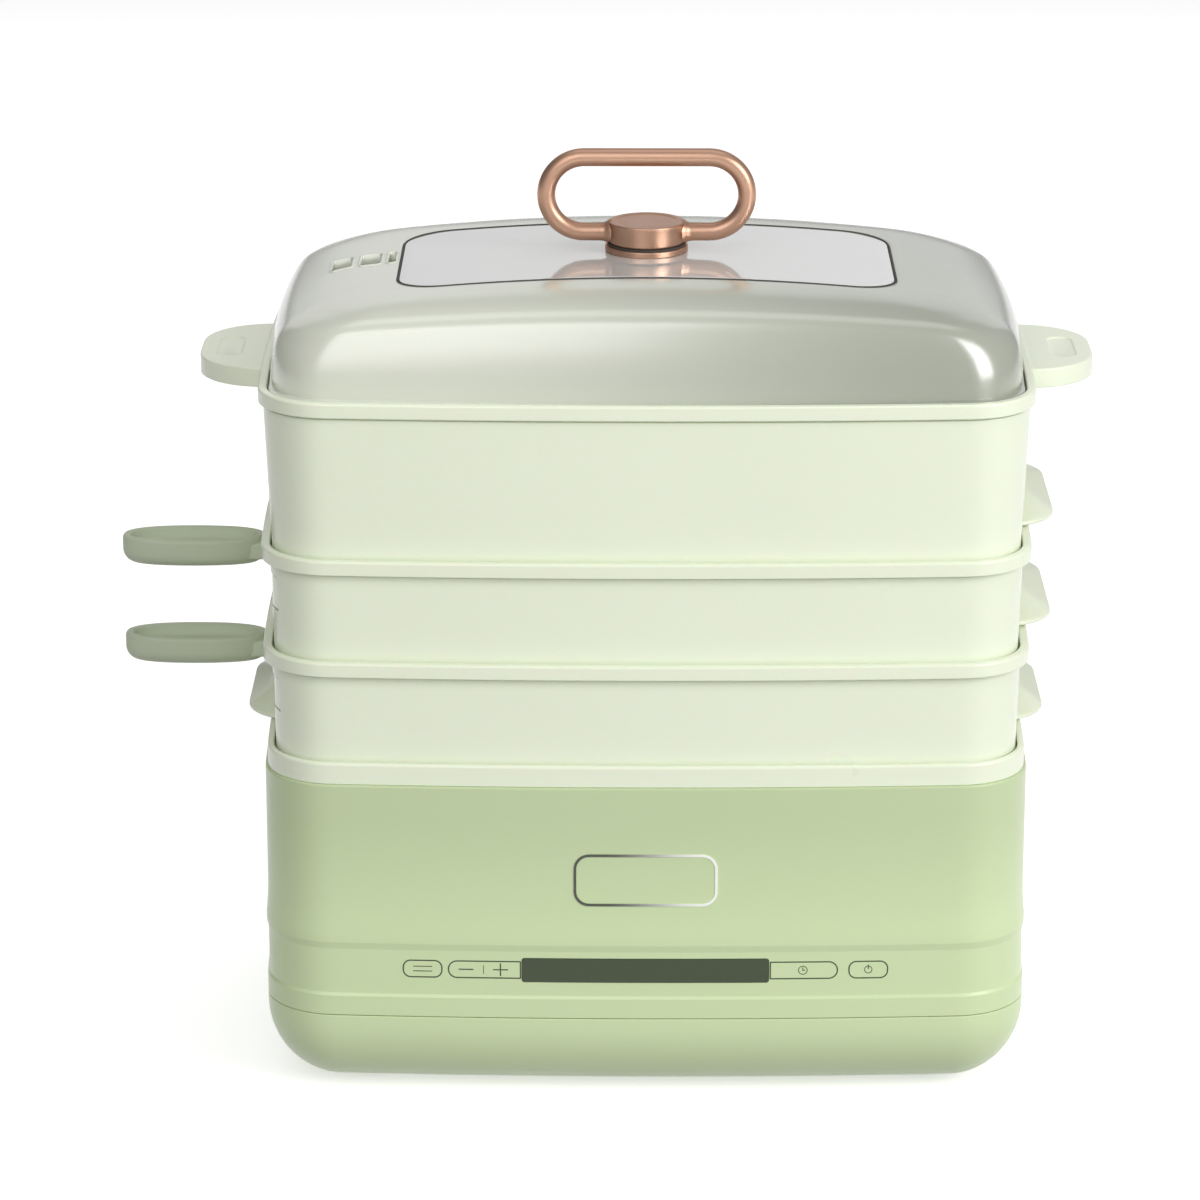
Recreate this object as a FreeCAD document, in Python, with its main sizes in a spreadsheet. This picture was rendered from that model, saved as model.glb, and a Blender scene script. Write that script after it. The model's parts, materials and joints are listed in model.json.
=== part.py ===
import FreeCAD, Part
import math
import os
import Sketcher
from FreeCAD import Placement, Rotation, Vector

# Three-tier steamer with two drawer pans. Z is up and the feet stand on z = 0.
# The front faces -Y, the pan handles point to -X, and the model's origin is the middle
# of its footprint, handles and ears included.

DOCUMENT_NAME = "NoodleRollSteamer"
PARTS_FOLDER = "parts"

SIZES = {
    # Outline shared by the base and the stack, seen from above.
    "base_width": 340.0,
    "base_depth": 216.0,
    "base_corner": 33.0,
    "front_bow": 2300.0,
    "side_bow": 1900.0,
    # General clearances.
    "seat_gap": 0.3,
    "side_gap": 0.5,
    "overrun": 1.0,
    # Base housing.
    "foot_height": 3.0,
    "foot_radius": 9.0,
    "foot_x": 122.5,
    "foot_y": 61.0,
    "foot_recess": 1.0,
    "foot_edge": 0.8,
    "shell_wall": 3.0,
    "bottom_rounding": 36.0,
    "parting_height": 42.0,
    "tongue_height": 3.5,
    "tongue_wall": 2.0,
    "band_bottom": 51.0,
    "band_top": 76.0,
    "band_recess": 0.8,
    "band_edge": 0.7,
    "shell_top": 149.4,
    "shell_ledge": 8.0,
    "ledge_top": 146.2,
    "ledge_thickness": 2.5,
    "boss_x": 134.0,
    "boss_y": 50.0,
    "boss_radius": 5.0,
    "boss_height": 24.0,
    "boss_rib": 2.5,
    "screw_radius": 1.6,
    "screw_head_radius": 3.1,
    "screw_head_height": 1.8,
    "screw_head_depth": 24.0,
    "screw_bore_gap": 0.1,
    "vent_slot_length": 26.0,
    "vent_slot_width": 3.0,
    "vent_pitch": 9.0,
    # Collar.
    "collar_height": 9.6,
    "collar_inset": 2.0,
    "collar_throat": 14.0,
    "collar_edge": 1.4,
    "collar_skirt": 2.9,
    "collar_skirt_wall": 1.0,
    # Nesting of tiers, collar and lid.
    "nest_depth": 5.0,
    "lip_inset": 5.0,
    "throat_inset": 8.4,
    "rim_inset": 1.0,
    "rim_height": 6.4,
    "rim_edge": 1.0,
    # Tiers.
    "tier_wall": 2.4,
    "low_tier_rise": 46.0,
    "tall_tier_rise": 70.0,
    "low_wall_inset": 4.8,
    "tall_wall_inset": 3.2,
    "grate_seat_height": 5.8,
    "grate_seat_thickness": 3.0,
    "grate_seat_inset": 12.0,
    # Side grips on the tiers.
    "grip_reach": 180.2,
    "grip_half_length": 52.0,
    "low_grip_reach": 178.2,
    "low_grip_half_length": 47.0,
    "grip_corner": 24.0,
    "grip_lip": 1.5,
    "grip_height": 7.0,
    "grip_gap": 0.8,
    "grip_skin": 2.0,
    "grip_top_reach": 168.5,
    "grip_top_half_length": 27.0,
    "grip_top_corner": 4.0,
    "grip_hollow_trim": 4.0,
    "grip_hollow_corner": 8.0,
    # Ears on the top tier.
    "ear_reach": 197.4,
    "ear_half_length": 40.0,
    "ear_corner": 30.0,
    "ear_thickness": 8.6,
    "ear_drop": 0.8,
    "ear_skin": 2.4,
    "ear_edge": 0.9,
    "ear_dimple_x": 184.5,
    "ear_dimple_length": 34.0,
    "ear_dimple_width": 11.0,
    "ear_dimple_depth": 0.7,
    # Grate of the top tier.
    "grate_thickness": 2.0,
    "grate_rim": 1.6,
    "grate_rim_width": 3.0,
    "grate_slot_length": 24.0,
    "grate_slot_width": 6.0,
    "grate_slot_pitch_x": 30.0,
    "grate_slot_pitch_y": 34.0,
    # Drawer pans.
    "slot_clearance": 1.0,
    "slot_drop": 12.8,
    "slot_height": 15.7,
    "rail_clearance": 1.5,
    "rail_thickness": 2.2,
    "rail_reach": 148.0,
    "flange_drop": 14.6,
    "tray_gauge": 1.0,
    "tray_depth": 10.9,
    "tray_left": 154.0,
    "tray_right": 143.0,
    "tray_side_inset": 29.5,
    "tray_corner": 14.0,
    "tray_flange": 5.0,
    "tray_draft": 4.0,
    "shutter_outer_x": 163.2,
    "shutter_thickness": 1.8,
    "handle_reach": 235.4,
    "handle_root": 171.0,
    "handle_half_width": 13.4,
    "handle_drop": 18.0,
    "handle_thickness": 12.0,
    "handle_dish_wall": 2.2,
    "handle_dish_depth": 2.4,
    "handle_edge": 4.2,
    "handle_neck_half_width": 9.0,
    "handle_neck_rise": 3.0,
    "handle_neck_reach": 184.0,
    "bracket_gauge": 1.5,
    "bracket_half_width": 7.0,
    "bracket_reach": 208.0,
    "bracket_drop": 24.2,
    "pan_screw_first_x": 182.0,
    "pan_screw_pitch": 16.0,
    # Water basin.
    "basin_gauge": 1.2,
    "basin_flange_inset": 4.6,
    "basin_inset": 15.0,
    "basin_floor": 74.0,
    "basin_rounding": 12.0,
    "gasket_inset": 6.0,
    "gasket_width": 5.0,
    # Heater.
    "heater_radius": 62.0,
    "heater_thickness": 8.0,
    "element_radius": 48.0,
    "element_tube": 4.2,
    "element_pin_radius": 1.5,
    "element_pin_length": 12.0,
    "sensor_radius": 8.0,
    "sensor_height": 12.0,
    "sensor_flange_radius": 12.0,
    "sensor_flange": 2.0,
    "cutout_x": 27.0,
    "cutout_radius": 7.5,
    "cutout_height": 7.0,
    "cutout_tab": 1.2,
    "cutout_tab_length": 24.0,
    # Boards.
    "board_thickness": 1.6,
    "power_board_width": 120.0,
    "power_board_depth": 72.0,
    "power_board_y": 24.0,
    "power_board_rise": 8.0,
    "post_radius": 3.5,
    "post_inset": 6.0,
    "relay_width": 20.0,
    "relay_depth": 16.0,
    "relay_height": 16.0,
    "transformer_size": 26.0,
    "transformer_height": 21.0,
    "capacitor_radius": 6.0,
    "capacitor_height": 18.0,
    "terminal_width": 30.0,
    "terminal_depth": 12.0,
    "terminal_height": 12.0,
    "part_spacing": 8.0,
    # Control strip.
    "film_half_width": 109.0,
    "film_bottom": 55.5,
    "film_height": 17.0,
    "film_thickness": 0.3,
    "film_bed_gap": 0.3,
    "lens_half_width": 54.4,
    "lens_bottom": 58.9,
    "lens_height": 11.4,
    "lens_thickness": 0.5,
    "lens_gap": 0.2,
    "display_half_width": 50.0,
    "display_height": 9.4,
    "display_depth": 7.0,
    "control_board_y": 98.0,
    "control_board_half_width": 108.0,
    "control_board_height": 19.0,
    "control_post_x": 101.0,
    "spring_radius": 3.6,
    "spring_wire": 0.7,
    "spring_first_x": 66.0,
    "spring_pitch": 12.0,
    # Appliance inlet at the back.
    "inlet_flange_width": 32.0,
    "inlet_flange_height": 22.0,
    "inlet_flange": 1.6,
    "inlet_width": 27.0,
    "inlet_height": 18.0,
    "inlet_depth": 19.0,
    "inlet_wall": 1.8,
    "inlet_corner": 3.0,
    "inlet_pin_width": 2.0,
    "inlet_pin_height": 4.0,
    "inlet_pin_length": 13.0,
    "inlet_pin_pitch": 7.0,
    "inlet_earth_rise": 3.4,
    # Lid.
    "lid_flange_drop": 0.6,
    "lid_rise": 42.0,
    "lid_half_width": 162.5,
    "lid_half_depth": 101.0,
    "lid_corner": 28.0,
    "lid_wall": 2.4,
    "lid_top_wall": 3.4,
    "lid_crown_rise": 43.7,
    "lid_crown_radius": 1050.0,
    "lid_shoulder": 6.0,
    "window_half_width": 108.0,
    "window_half_depth": 52.0,
    "window_corner": 14.0,
    "window_thickness": 1.6,
    "window_groove": 0.8,
    "window_bed": 0.1,
    "vent_x": 135.3,
    "vent_spacing": 11.4,
    "vent_width": 6.6,
    "vent_length": 15.0,
    "vent_y": 9.0,
    # Knob and loop on the lid.
    "knob_base_radius": 18.3,
    "knob_base_height": 2.6,
    "knob_gasket_radius": 17.3,
    "knob_gasket_height": 0.9,
    "knob_radius": 16.9,
    "knob_height": 9.6,
    "knob_edge": 1.2,
    "loop_width": 96.5,
    "loop_height": 41.4,
    "loop_bar_radius": 4.0,
    "loop_roof": 1.0,
    "loop_bore_gap": 0.05,
    "lid_screw_radius": 2.5,
    "lid_screw_head_radius": 5.0,
    "lid_screw_head_height": 3.0,
    "lid_washer_radius": 9.0,
    "lid_washer_thickness": 1.2,
    "lid_screw_bite": 4.0,
}

# Shares of the bottom rounding: an arc from the wall to the floor in equal turns.
ROUNDING_TURNS = 6
ROUNDING_LAST_ANGLE = math.radians(80)
ROUNDING_IN_SHARES = [
    1 - math.cos(ROUNDING_LAST_ANGLE * turn / ROUNDING_TURNS) for turn in range(ROUNDING_TURNS + 1)
]
ROUNDING_DOWN_SHARES = [
    math.sin(ROUNDING_LAST_ANGLE * turn / ROUNDING_TURNS) for turn in range(ROUNDING_TURNS + 1)
]

# The lid's outline at each level, as shares of its rise, half width, half depth and corner.
LID_SECTION_SHARES = (
    (0.0, 1.0, 1.0, 0.96),
    (0.24, 0.994, 0.98, 1.0),
    (0.45, 0.977, 0.953, 1.04),
    (0.62, 0.942, 0.918, 1.07),
    (0.76, 0.886, 0.866, 1.11),
    (0.88, 0.809, 0.782, 1.14),
    (0.965, 0.745, 0.678, 1.0),
    (1.06, 0.665, 0.515, 0.71),
)

PERFORATION_COLUMNS = 9
PERFORATION_ROWS = 5
VENT_SLOT_COUNT = 8
LID_VENT_COUNT = 3
TOUCH_SPRINGS_PER_SIDE = 3
PAN_SCREW_COUNT = 2
ELEMENT_ANGLE = 320.0
ELEMENT_BED_SHARE = 0.4
QUARTER_TURN = 90.0
FULL_TURN = 360.0


class Size:
    """A length, held as a formula on the sheet together with its value now."""

    def __init__(self, formula, value):
        self.formula = formula
        self.value = value

    def joined(self, sign, other, value):
        other_formula = other.formula if isinstance(other, Size) else repr(other)
        return Size(f"({self.formula} {sign} {other_formula})", value)

    def __add__(self, other):
        return self.joined("+", other, self.value + other.value)

    def __sub__(self, other):
        return self.joined("-", other, self.value - other.value)

    def __mul__(self, share):
        return self.joined("*", share, self.value * share)

    def __truediv__(self, share):
        return self.joined("/", share, self.value / share)

    def __neg__(self):
        return Size(f"(-1 * {self.formula})", -self.value)


class Sheet:
    """The spreadsheet of driving sizes, read as attributes."""

    def __init__(self, document, sizes):
        self.table = document.addObject("Spreadsheet::Sheet", "Sizes")
        self.sizes = {}
        for row, (name, value) in enumerate(sizes.items(), start=1):
            self.table.set(f"A{row}", name)
            self.table.set(f"B{row}", str(value))
            self.table.setAlias(f"B{row}", name)
            self.sizes[name] = Size(f"Sizes.{name}", value)

    def __getattr__(self, name):
        return self.sizes[name]


doc = FreeCAD.newDocument(DOCUMENT_NAME)
S = Sheet(doc, SIZES)
doc.recompute()

ZERO = Size("0", 0.0)

# Levels and places worked out from the driving sizes.
HALF_WIDTH = S.base_width / 2
HALF_DEPTH = S.base_depth / 2
CENTRE_SHIFT = (S.handle_reach - S.ear_reach) / 2
COLLAR_TOP = S.shell_top + S.collar_height
RIM_3 = COLLAR_TOP + S.low_tier_rise
RIM_2 = RIM_3 + S.low_tier_rise
RIM_1 = RIM_2 + S.tall_tier_rise
FOOT_INSET = S.lip_inset + S.side_gap
BAND_MIDDLE = (S.band_bottom + S.band_top) / 2
LID_SEAT = RIM_1 - S.nest_depth + S.seat_gap
LID_BASE = RIM_1 - S.lid_flange_drop
CROWN_TOP = LID_BASE + S.lid_crown_rise
TRAY_HALF_WIDTH = HALF_DEPTH - S.tray_side_inset
SLOT_HALF_LENGTH = TRAY_HALF_WIDTH + S.tray_flange + S.slot_clearance
RAIL_INNER_Y = TRAY_HALF_WIDTH + S.rail_clearance


def bind(target, path, size):
    """Drives a property of an object by a formula."""
    target.setExpression(path, size.formula)


def plane(body, role):
    return next(item for item in body.Origin.OriginFeatures if item.Role == role)


def new_body(label):
    body = doc.addObject("PartDesign::Body", label)
    body.Label = label
    bind(body, "Placement.Base.x", CENTRE_SHIFT)
    return body


def new_sketch(body, name, role="XY_Plane", offset=ZERO):
    """A sketch on one of the body's own planes, moved along the plane's normal."""
    sketch = body.newObject("Sketcher::SketchObject", name)
    sketch.AttachmentSupport = [(plane(body, role), "")]
    sketch.MapMode = "FlatFace"
    sketch.AttachmentOffset = Placement(Vector(0, 0, offset.value), Rotation())
    bind(sketch, "AttachmentOffset.Base.z", offset)
    return sketch


def limit(sketch, kind, *parts):
    """Adds a dimension whose last part is a Size."""
    *where, size = parts
    index = sketch.addConstraint(Sketcher.Constraint(kind, *where, size.value))
    bind(sketch, f"Constraints[{index}]", size)


def relate(sketch, kind, *parts):
    sketch.addConstraint(Sketcher.Constraint(kind, *parts))


def line(sketch, start, end):
    return sketch.addGeometry(Part.LineSegment(Vector(*start, 0), Vector(*end, 0)), False)


def arc(sketch, centre, radius, start, end):
    circle = Part.Circle(Vector(*centre, 0), Vector(0, 0, 1), radius)
    return sketch.addGeometry(Part.ArcOfCircle(circle, start, end), False)


def place_point(sketch, item, point, across, up):
    limit(sketch, "DistanceX", -1, 1, item, point, across)
    limit(sketch, "DistanceY", -1, 1, item, point, up)


def draw_circle(sketch, across, up, radius):
    circle = Part.Circle(Vector(across.value, up.value, 0), Vector(0, 0, 1), radius.value)
    item = sketch.addGeometry(circle, False)
    limit(sketch, "Radius", item, radius)
    place_point(sketch, item, 3, across, up)


def draw_polygon(sketch, corners):
    """Straight sides through corners that are pairs of Sizes."""
    count = len(corners)
    values = [(across.value, up.value) for across, up in corners]
    sides = [line(sketch, values[i], values[(i + 1) % count]) for i in range(count)]
    for i in range(count):
        relate(sketch, "Coincident", sides[i], 2, sides[(i + 1) % count], 1)
        place_point(sketch, sides[i], 1, *corners[i])


def draw_rectangle(sketch, left, right, low, high):
    draw_polygon(sketch, [(left, low), (right, low), (right, high), (left, high)])


def draw_rounded_rectangle(sketch, left, right, low, high, corner):
    """A rectangle whose corners are arcs tangent to its sides."""
    x0, x1, y0, y1, r = (s.value for s in (left, right, low, high, corner))
    half = math.pi / 2
    sides = [
        line(sketch, (x0 + r, y0), (x1 - r, y0)),
        arc(sketch, (x1 - r, y0 + r), r, -half, 0),
        line(sketch, (x1, y0 + r), (x1, y1 - r)),
        arc(sketch, (x1 - r, y1 - r), r, 0, half),
        line(sketch, (x1 - r, y1), (x0 + r, y1)),
        arc(sketch, (x0 + r, y1 - r), r, half, 2 * half),
        line(sketch, (x0, y1 - r), (x0, y0 + r)),
        arc(sketch, (x0 + r, y0 + r), r, 2 * half, 3 * half),
    ]
    for i in range(8):
        relate(sketch, "Tangent", sides[i], 2, sides[(i + 1) % 8], 1)
    for i in (3, 5, 7):
        relate(sketch, "Equal", sides[1], sides[i])
    for i, kind in ((0, "Horizontal"), (2, "Vertical"), (4, "Horizontal"), (6, "Vertical")):
        relate(sketch, kind, sides[i])
    limit(sketch, "Radius", sides[1], corner)
    place_point(sketch, sides[1], 3, right - corner, low + corner)
    place_point(sketch, sides[5], 3, left + corner, high - corner)


def draw_ellipse(sketch, across, up, half_length, half_width):
    """An ellipse that runs along the sketch's first axis."""
    x, y, a, b = across.value, up.value, half_length.value, half_width.value
    curve = Part.Ellipse(Vector(x + a, y, 0), Vector(x, y + b, 0), Vector(x, y, 0))
    item = sketch.addGeometry(curve, False)
    sketch.exposeInternalGeometry(item)
    long_axis, short_axis = item + 1, item + 2
    relate(sketch, "Horizontal", long_axis)
    limit(sketch, "Distance", long_axis, half_length * 2)
    limit(sketch, "Distance", short_axis, half_width * 2)
    place_point(sketch, item, 3, across, up)


def draw_slot(sketch, across, up, length, width):
    """A round-ended slot that runs along the sketch's second axis."""
    r, half = width.value / 2, (length.value - width.value) / 2
    x, y = across.value, up.value
    sides = [
        arc(sketch, (x, y + half), r, 0, math.pi),
        line(sketch, (x - r, y + half), (x - r, y - half)),
        arc(sketch, (x, y - half), r, math.pi, 2 * math.pi),
        line(sketch, (x + r, y - half), (x + r, y + half)),
    ]
    for i in range(4):
        relate(sketch, "Tangent", sides[i], 2, sides[(i + 1) % 4], 1)
    relate(sketch, "Equal", sides[0], sides[2])
    limit(sketch, "Radius", sides[0], width / 2)
    place_point(sketch, sides[0], 3, across, up + (length - width) / 2)
    place_point(sketch, sides[2], 3, across, up - (length - width) / 2)


def corner_centre(half_width, half_depth, corner, front_bow, side_bow):
    """Centre of the corner arc that meets the front arc and the right-hand arc."""
    front_y, side_x = front_bow - half_depth, side_bow - half_width
    to_front, to_side = front_bow - corner, side_bow - corner
    apart = math.hypot(side_x, front_y)
    along = (to_side**2 - to_front**2 + apart**2) / (2 * apart)
    away = math.sqrt(to_side**2 - along**2)
    across, up = side_x / apart, front_y / apart
    return along * across + away * up - side_x, along * up - away * across


def draw_bowed_outline(sketch, half_width, half_depth, corner, front_bow, side_bow):
    """The barrel outline: four wide arcs joined by four corner arcs, all tangent."""
    hw, hd, r, rf, rs = (s.value for s in (half_width, half_depth, corner, front_bow, side_bow))
    cx, cy = corner_centre(hw, hd, r, rf, rs)
    front_y, side_x = rf - hd, rs - hw
    low = math.atan2(cy - front_y, cx)
    side = math.atan2(cy, cx + side_x)
    front = arc(sketch, (0, front_y), rf, -math.pi - low, low)
    right = arc(sketch, (-side_x, 0), rs, side, -side)
    back = arc(sketch, (0, -front_y), rf, -low, math.pi + low)
    left = arc(sketch, (side_x, 0), rs, math.pi + side, math.pi - side)
    corners = [
        arc(sketch, (cx, cy), r, low, side),
        arc(sketch, (cx, -cy), r, -side, -low),
        arc(sketch, (-cx, -cy), r, math.pi + low, math.pi + side),
        arc(sketch, (-cx, cy), r, math.pi - side, math.pi - low),
    ]
    ring = [front, corners[0], right, corners[1], back, corners[2], left, corners[3]]
    for i in range(8):
        relate(sketch, "Tangent", ring[i], 2, ring[(i + 1) % 8], 1)
    for item, axis in ((front, -2), (back, -2), (right, -1), (left, -1)):
        relate(sketch, "PointOnObject", item, 3, axis)
    relate(sketch, "Equal", front, back)
    relate(sketch, "Equal", right, left)
    for item in corners[1:]:
        relate(sketch, "Equal", corners[0], item)
    limit(sketch, "Radius", front, front_bow)
    limit(sketch, "Radius", right, side_bow)
    limit(sketch, "Radius", corners[0], corner)
    limit(sketch, "DistanceY", -1, 1, front, 3, front_bow - half_depth)
    limit(sketch, "DistanceY", -1, 1, back, 3, half_depth - front_bow)
    limit(sketch, "DistanceX", -1, 1, right, 3, half_width - side_bow)
    limit(sketch, "DistanceX", -1, 1, left, 3, side_bow - half_width)


def outline(body, name, level, inset):
    """The stack's outline at a level, moved in all round by an inset."""
    sketch = new_sketch(body, name, offset=level)
    draw_bowed_outline(
        sketch,
        HALF_WIDTH - inset,
        HALF_DEPTH - inset,
        S.base_corner - inset,
        S.front_bow - inset,
        S.side_bow - inset,
    )
    return sketch


def draw_tab(sketch, side, root, reach, half_length, corner):
    """A tab that sticks out along X on one side, with two rounded outer corners."""
    x0, x1, half, r = (s.value for s in (root, reach, half_length, corner))
    turn = math.pi / 2
    if side > 0:
        sides = [
            line(sketch, (x0, -half), (x1 - r, -half)),
            arc(sketch, (x1 - r, -half + r), r, -turn, 0),
            line(sketch, (x1, -half + r), (x1, half - r)),
            arc(sketch, (x1 - r, half - r), r, 0, turn),
            line(sketch, (x1 - r, half), (x0, half)),
            line(sketch, (x0, half), (x0, -half)),
        ]
        tip, start = reach - corner, root
    else:
        sides = [
            line(sketch, (-x0, half), (-x1 + r, half)),
            arc(sketch, (-x1 + r, half - r), r, turn, 2 * turn),
            line(sketch, (-x1, half - r), (-x1, -half + r)),
            arc(sketch, (-x1 + r, -half + r), r, 2 * turn, 3 * turn),
            line(sketch, (-x1 + r, -half), (-x0, -half)),
            line(sketch, (-x0, -half), (-x0, half)),
        ]
        tip, start = corner - reach, -root
    for i in range(4):
        relate(sketch, "Tangent", sides[i], 2, sides[i + 1], 1)
    relate(sketch, "Coincident", sides[4], 2, sides[5], 1)
    relate(sketch, "Coincident", sides[5], 2, sides[0], 1)
    relate(sketch, "Equal", sides[1], sides[3])
    relate(sketch, "Horizontal", sides[0])
    relate(sketch, "Vertical", sides[2])
    relate(sketch, "Horizontal", sides[4])
    relate(sketch, "Vertical", sides[5])
    limit(sketch, "Radius", sides[1], corner)
    limit(sketch, "DistanceX", -1, 1, sides[0], 1, start)
    first = (corner - half_length) * side
    place_point(sketch, sides[1], 3, tip, first)
    limit(sketch, "DistanceY", -1, 1, sides[3], 3, -first)


def draw_bow_strip(sketch, side, left, right, inner, outer_inset):
    """A strip along the front (-1) or back (+1) whose outer edge follows the bow."""
    radius = S.front_bow - outer_inset
    centre = (HALF_DEPTH - S.front_bow) * side
    x0, x1, y0 = left.value, right.value, (inner * side).value
    reach = [math.sqrt(radius.value**2 - x**2) * side + centre.value for x in (x0, x1)]
    angles = [math.atan2(y - centre.value, x) for x, y in zip((x0, x1), reach)]
    first, last = (0, 1) if side < 0 else (1, 0)
    bow = arc(sketch, (0, centre.value), radius.value, angles[first], angles[last])
    ends = ((x0, reach[0]), (x1, reach[1]))
    start, finish = ends[first], ends[last]
    away = line(sketch, finish, (finish[0], y0))
    along = line(sketch, (finish[0], y0), (start[0], y0))
    back = line(sketch, (start[0], y0), start)
    for one, other in ((bow, away), (away, along), (along, back), (back, bow)):
        relate(sketch, "Coincident", one, 2, other, 1)
    relate(sketch, "Vertical", away)
    relate(sketch, "Vertical", back)
    relate(sketch, "PointOnObject", bow, 3, -2)
    limit(sketch, "Radius", bow, radius)
    limit(sketch, "DistanceY", -1, 1, bow, 3, centre)
    place_point(sketch, away, 2, (left, right)[last], inner * side)
    place_point(sketch, along, 2, (left, right)[first], inner * side)


def draw_bow_band(sketch, half_width, outer_inset, inner_inset):
    """A thin band along the front between two insets of the bow."""
    centre = S.front_bow - HALF_DEPTH
    x, cy = half_width.value, centre.value
    bows, corners = [], []
    for inset in (outer_inset, inner_inset):
        radius = S.front_bow - inset
        y = cy - math.sqrt(radius.value**2 - x**2)
        turn = math.atan2(y - cy, x)
        bow = arc(sketch, (0, cy), radius.value, -math.pi - turn, turn)
        limit(sketch, "Radius", bow, radius)
        relate(sketch, "PointOnObject", bow, 3, -2)
        limit(sketch, "DistanceY", -1, 1, bow, 3, centre)
        bows.append(bow)
        corners.append(y)
    outer, inner = bows
    right = line(sketch, (x, corners[0]), (x, corners[1]))
    left = line(sketch, (-x, corners[0]), (-x, corners[1]))
    for point, end in ((outer, 1), (inner, 2)):
        relate(sketch, "Coincident", point, 2, right, end)
        relate(sketch, "Coincident", point, 1, left, end)
    relate(sketch, "Vertical", right)
    relate(sketch, "Vertical", left)
    limit(sketch, "DistanceX", -1, 1, right, 1, half_width)
    limit(sketch, "DistanceX", -1, 1, left, 1, -half_width)


def pad(body, sketch, length, name, down=False):
    feature = body.newObject("PartDesign::Pad", name)
    feature.Profile = sketch
    feature.Length = length.value
    feature.Reversed = down
    bind(feature, "Length", length)
    return feature


def pocket(body, sketch, length, name, up=False):
    """Cuts against the sketch's normal, or along it when up is set."""
    feature = body.newObject("PartDesign::Pocket", name)
    feature.Profile = sketch
    feature.Length = length.value
    feature.Reversed = up
    bind(feature, "Length", length)
    return feature


def loft(body, sketches, name, cut=False, ruled=True):
    kind = "SubtractiveLoft" if cut else "AdditiveLoft"
    feature = body.newObject(f"PartDesign::{kind}", name)
    feature.Profile = sketches[0]
    feature.Sections = sketches[1:]
    feature.Ruled = ruled
    return feature


def edges_where(feature, test):
    doc.recompute()
    return [f"Edge{i}" for i, edge in enumerate(feature.Shape.Edges, start=1) if test(edge)]


def at_level(level, margin, reach):
    """Picks the edges that lie flat at a level and outside a distance from the middle."""
    def test(edge):
        box = edge.BoundBox
        flat = abs(box.ZMin - level.value) < margin and abs(box.ZMax - level.value) < margin
        middle = edge.CenterOfMass
        outside = abs(middle.x) > reach[0] or abs(middle.y) > reach[1]
        return flat and outside
    return test


def fillet(body, feature, edges, radius, name):
    rounding = body.newObject("PartDesign::Fillet", name)
    rounding.Base = (feature, edges)
    rounding.Radius = radius.value
    bind(rounding, "Radius", radius)
    return rounding


def ring_reach(inset):
    """Plan distances just inside an inset outline, to pick its edges by."""
    return (HALF_WIDTH - inset - S.tier_wall / 4).value, (HALF_DEPTH - inset - S.tier_wall / 4).value


# Base housing


def build_main_shell():
    """Upper housing with a shallow band all round, a ledge for the basin and screw bosses."""
    body = new_body("main_shell")
    lower = outline(body, "ShellFoot", S.parting_height, ZERO)
    pad(body, lower, S.band_bottom - S.parting_height, "FootBand")
    band = outline(body, "BandOutline", S.band_bottom, S.band_recess)
    pad(body, band, S.band_top - S.band_bottom, "ControlBand")
    upper = outline(body, "UpperOutline", S.band_top, ZERO)
    solid = pad(body, upper, S.shell_top - S.band_top, "UpperWall")
    levels = (S.band_bottom, S.band_top)
    margin = S.seat_gap.value
    reach = ring_reach(ZERO)
    edges = [
        name
        for level in levels
        for name in edges_where(solid, at_level(level, margin, reach))
        if outer_edge(solid, name, ZERO)
    ]
    fillet(body, solid, edges, S.band_edge, "BandEdges")

    mouth = outline(body, "MouthOutline", S.shell_top, S.shell_wall)
    pocket(body, mouth, S.shell_top - S.ledge_top, "Mouth")
    ledge = outline(body, "LedgeOutline", S.ledge_top, S.shell_ledge)
    pocket(body, ledge, S.ledge_thickness, "LedgeHole")
    room_top = S.ledge_top - S.ledge_thickness
    room = outline(body, "RoomOutline", room_top, S.shell_wall)
    pocket(body, room, room_top - S.parting_height, "Room")

    add_shell_bosses(body)
    add_control_posts(body)
    cut_display_window(body)
    cut_inlet_hole(body)
    return body


def outer_edge(feature, name, inset):
    """True for an edge that lies on the outline at this inset."""
    edge = feature.Shape.getElement(name)
    middle = edge.valueAt((edge.FirstParameter + edge.LastParameter) / 2)
    half_width = (HALF_WIDTH - inset).value
    half_depth = (HALF_DEPTH - inset).value
    slack = S.band_recess.value / 2
    corner_x, corner_y = corner_centre(
        half_width, half_depth, (S.base_corner - inset).value,
        (S.front_bow - inset).value, (S.side_bow - inset).value,
    )
    if abs(middle.x) > corner_x and abs(middle.y) > -corner_y:
        gap = math.hypot(abs(middle.x) - corner_x, abs(middle.y) + corner_y)
        return abs(gap - (S.base_corner - inset).value) < slack
    return abs(abs(middle.x) - half_width) < slack or abs(abs(middle.y) - half_depth) < slack


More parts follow.
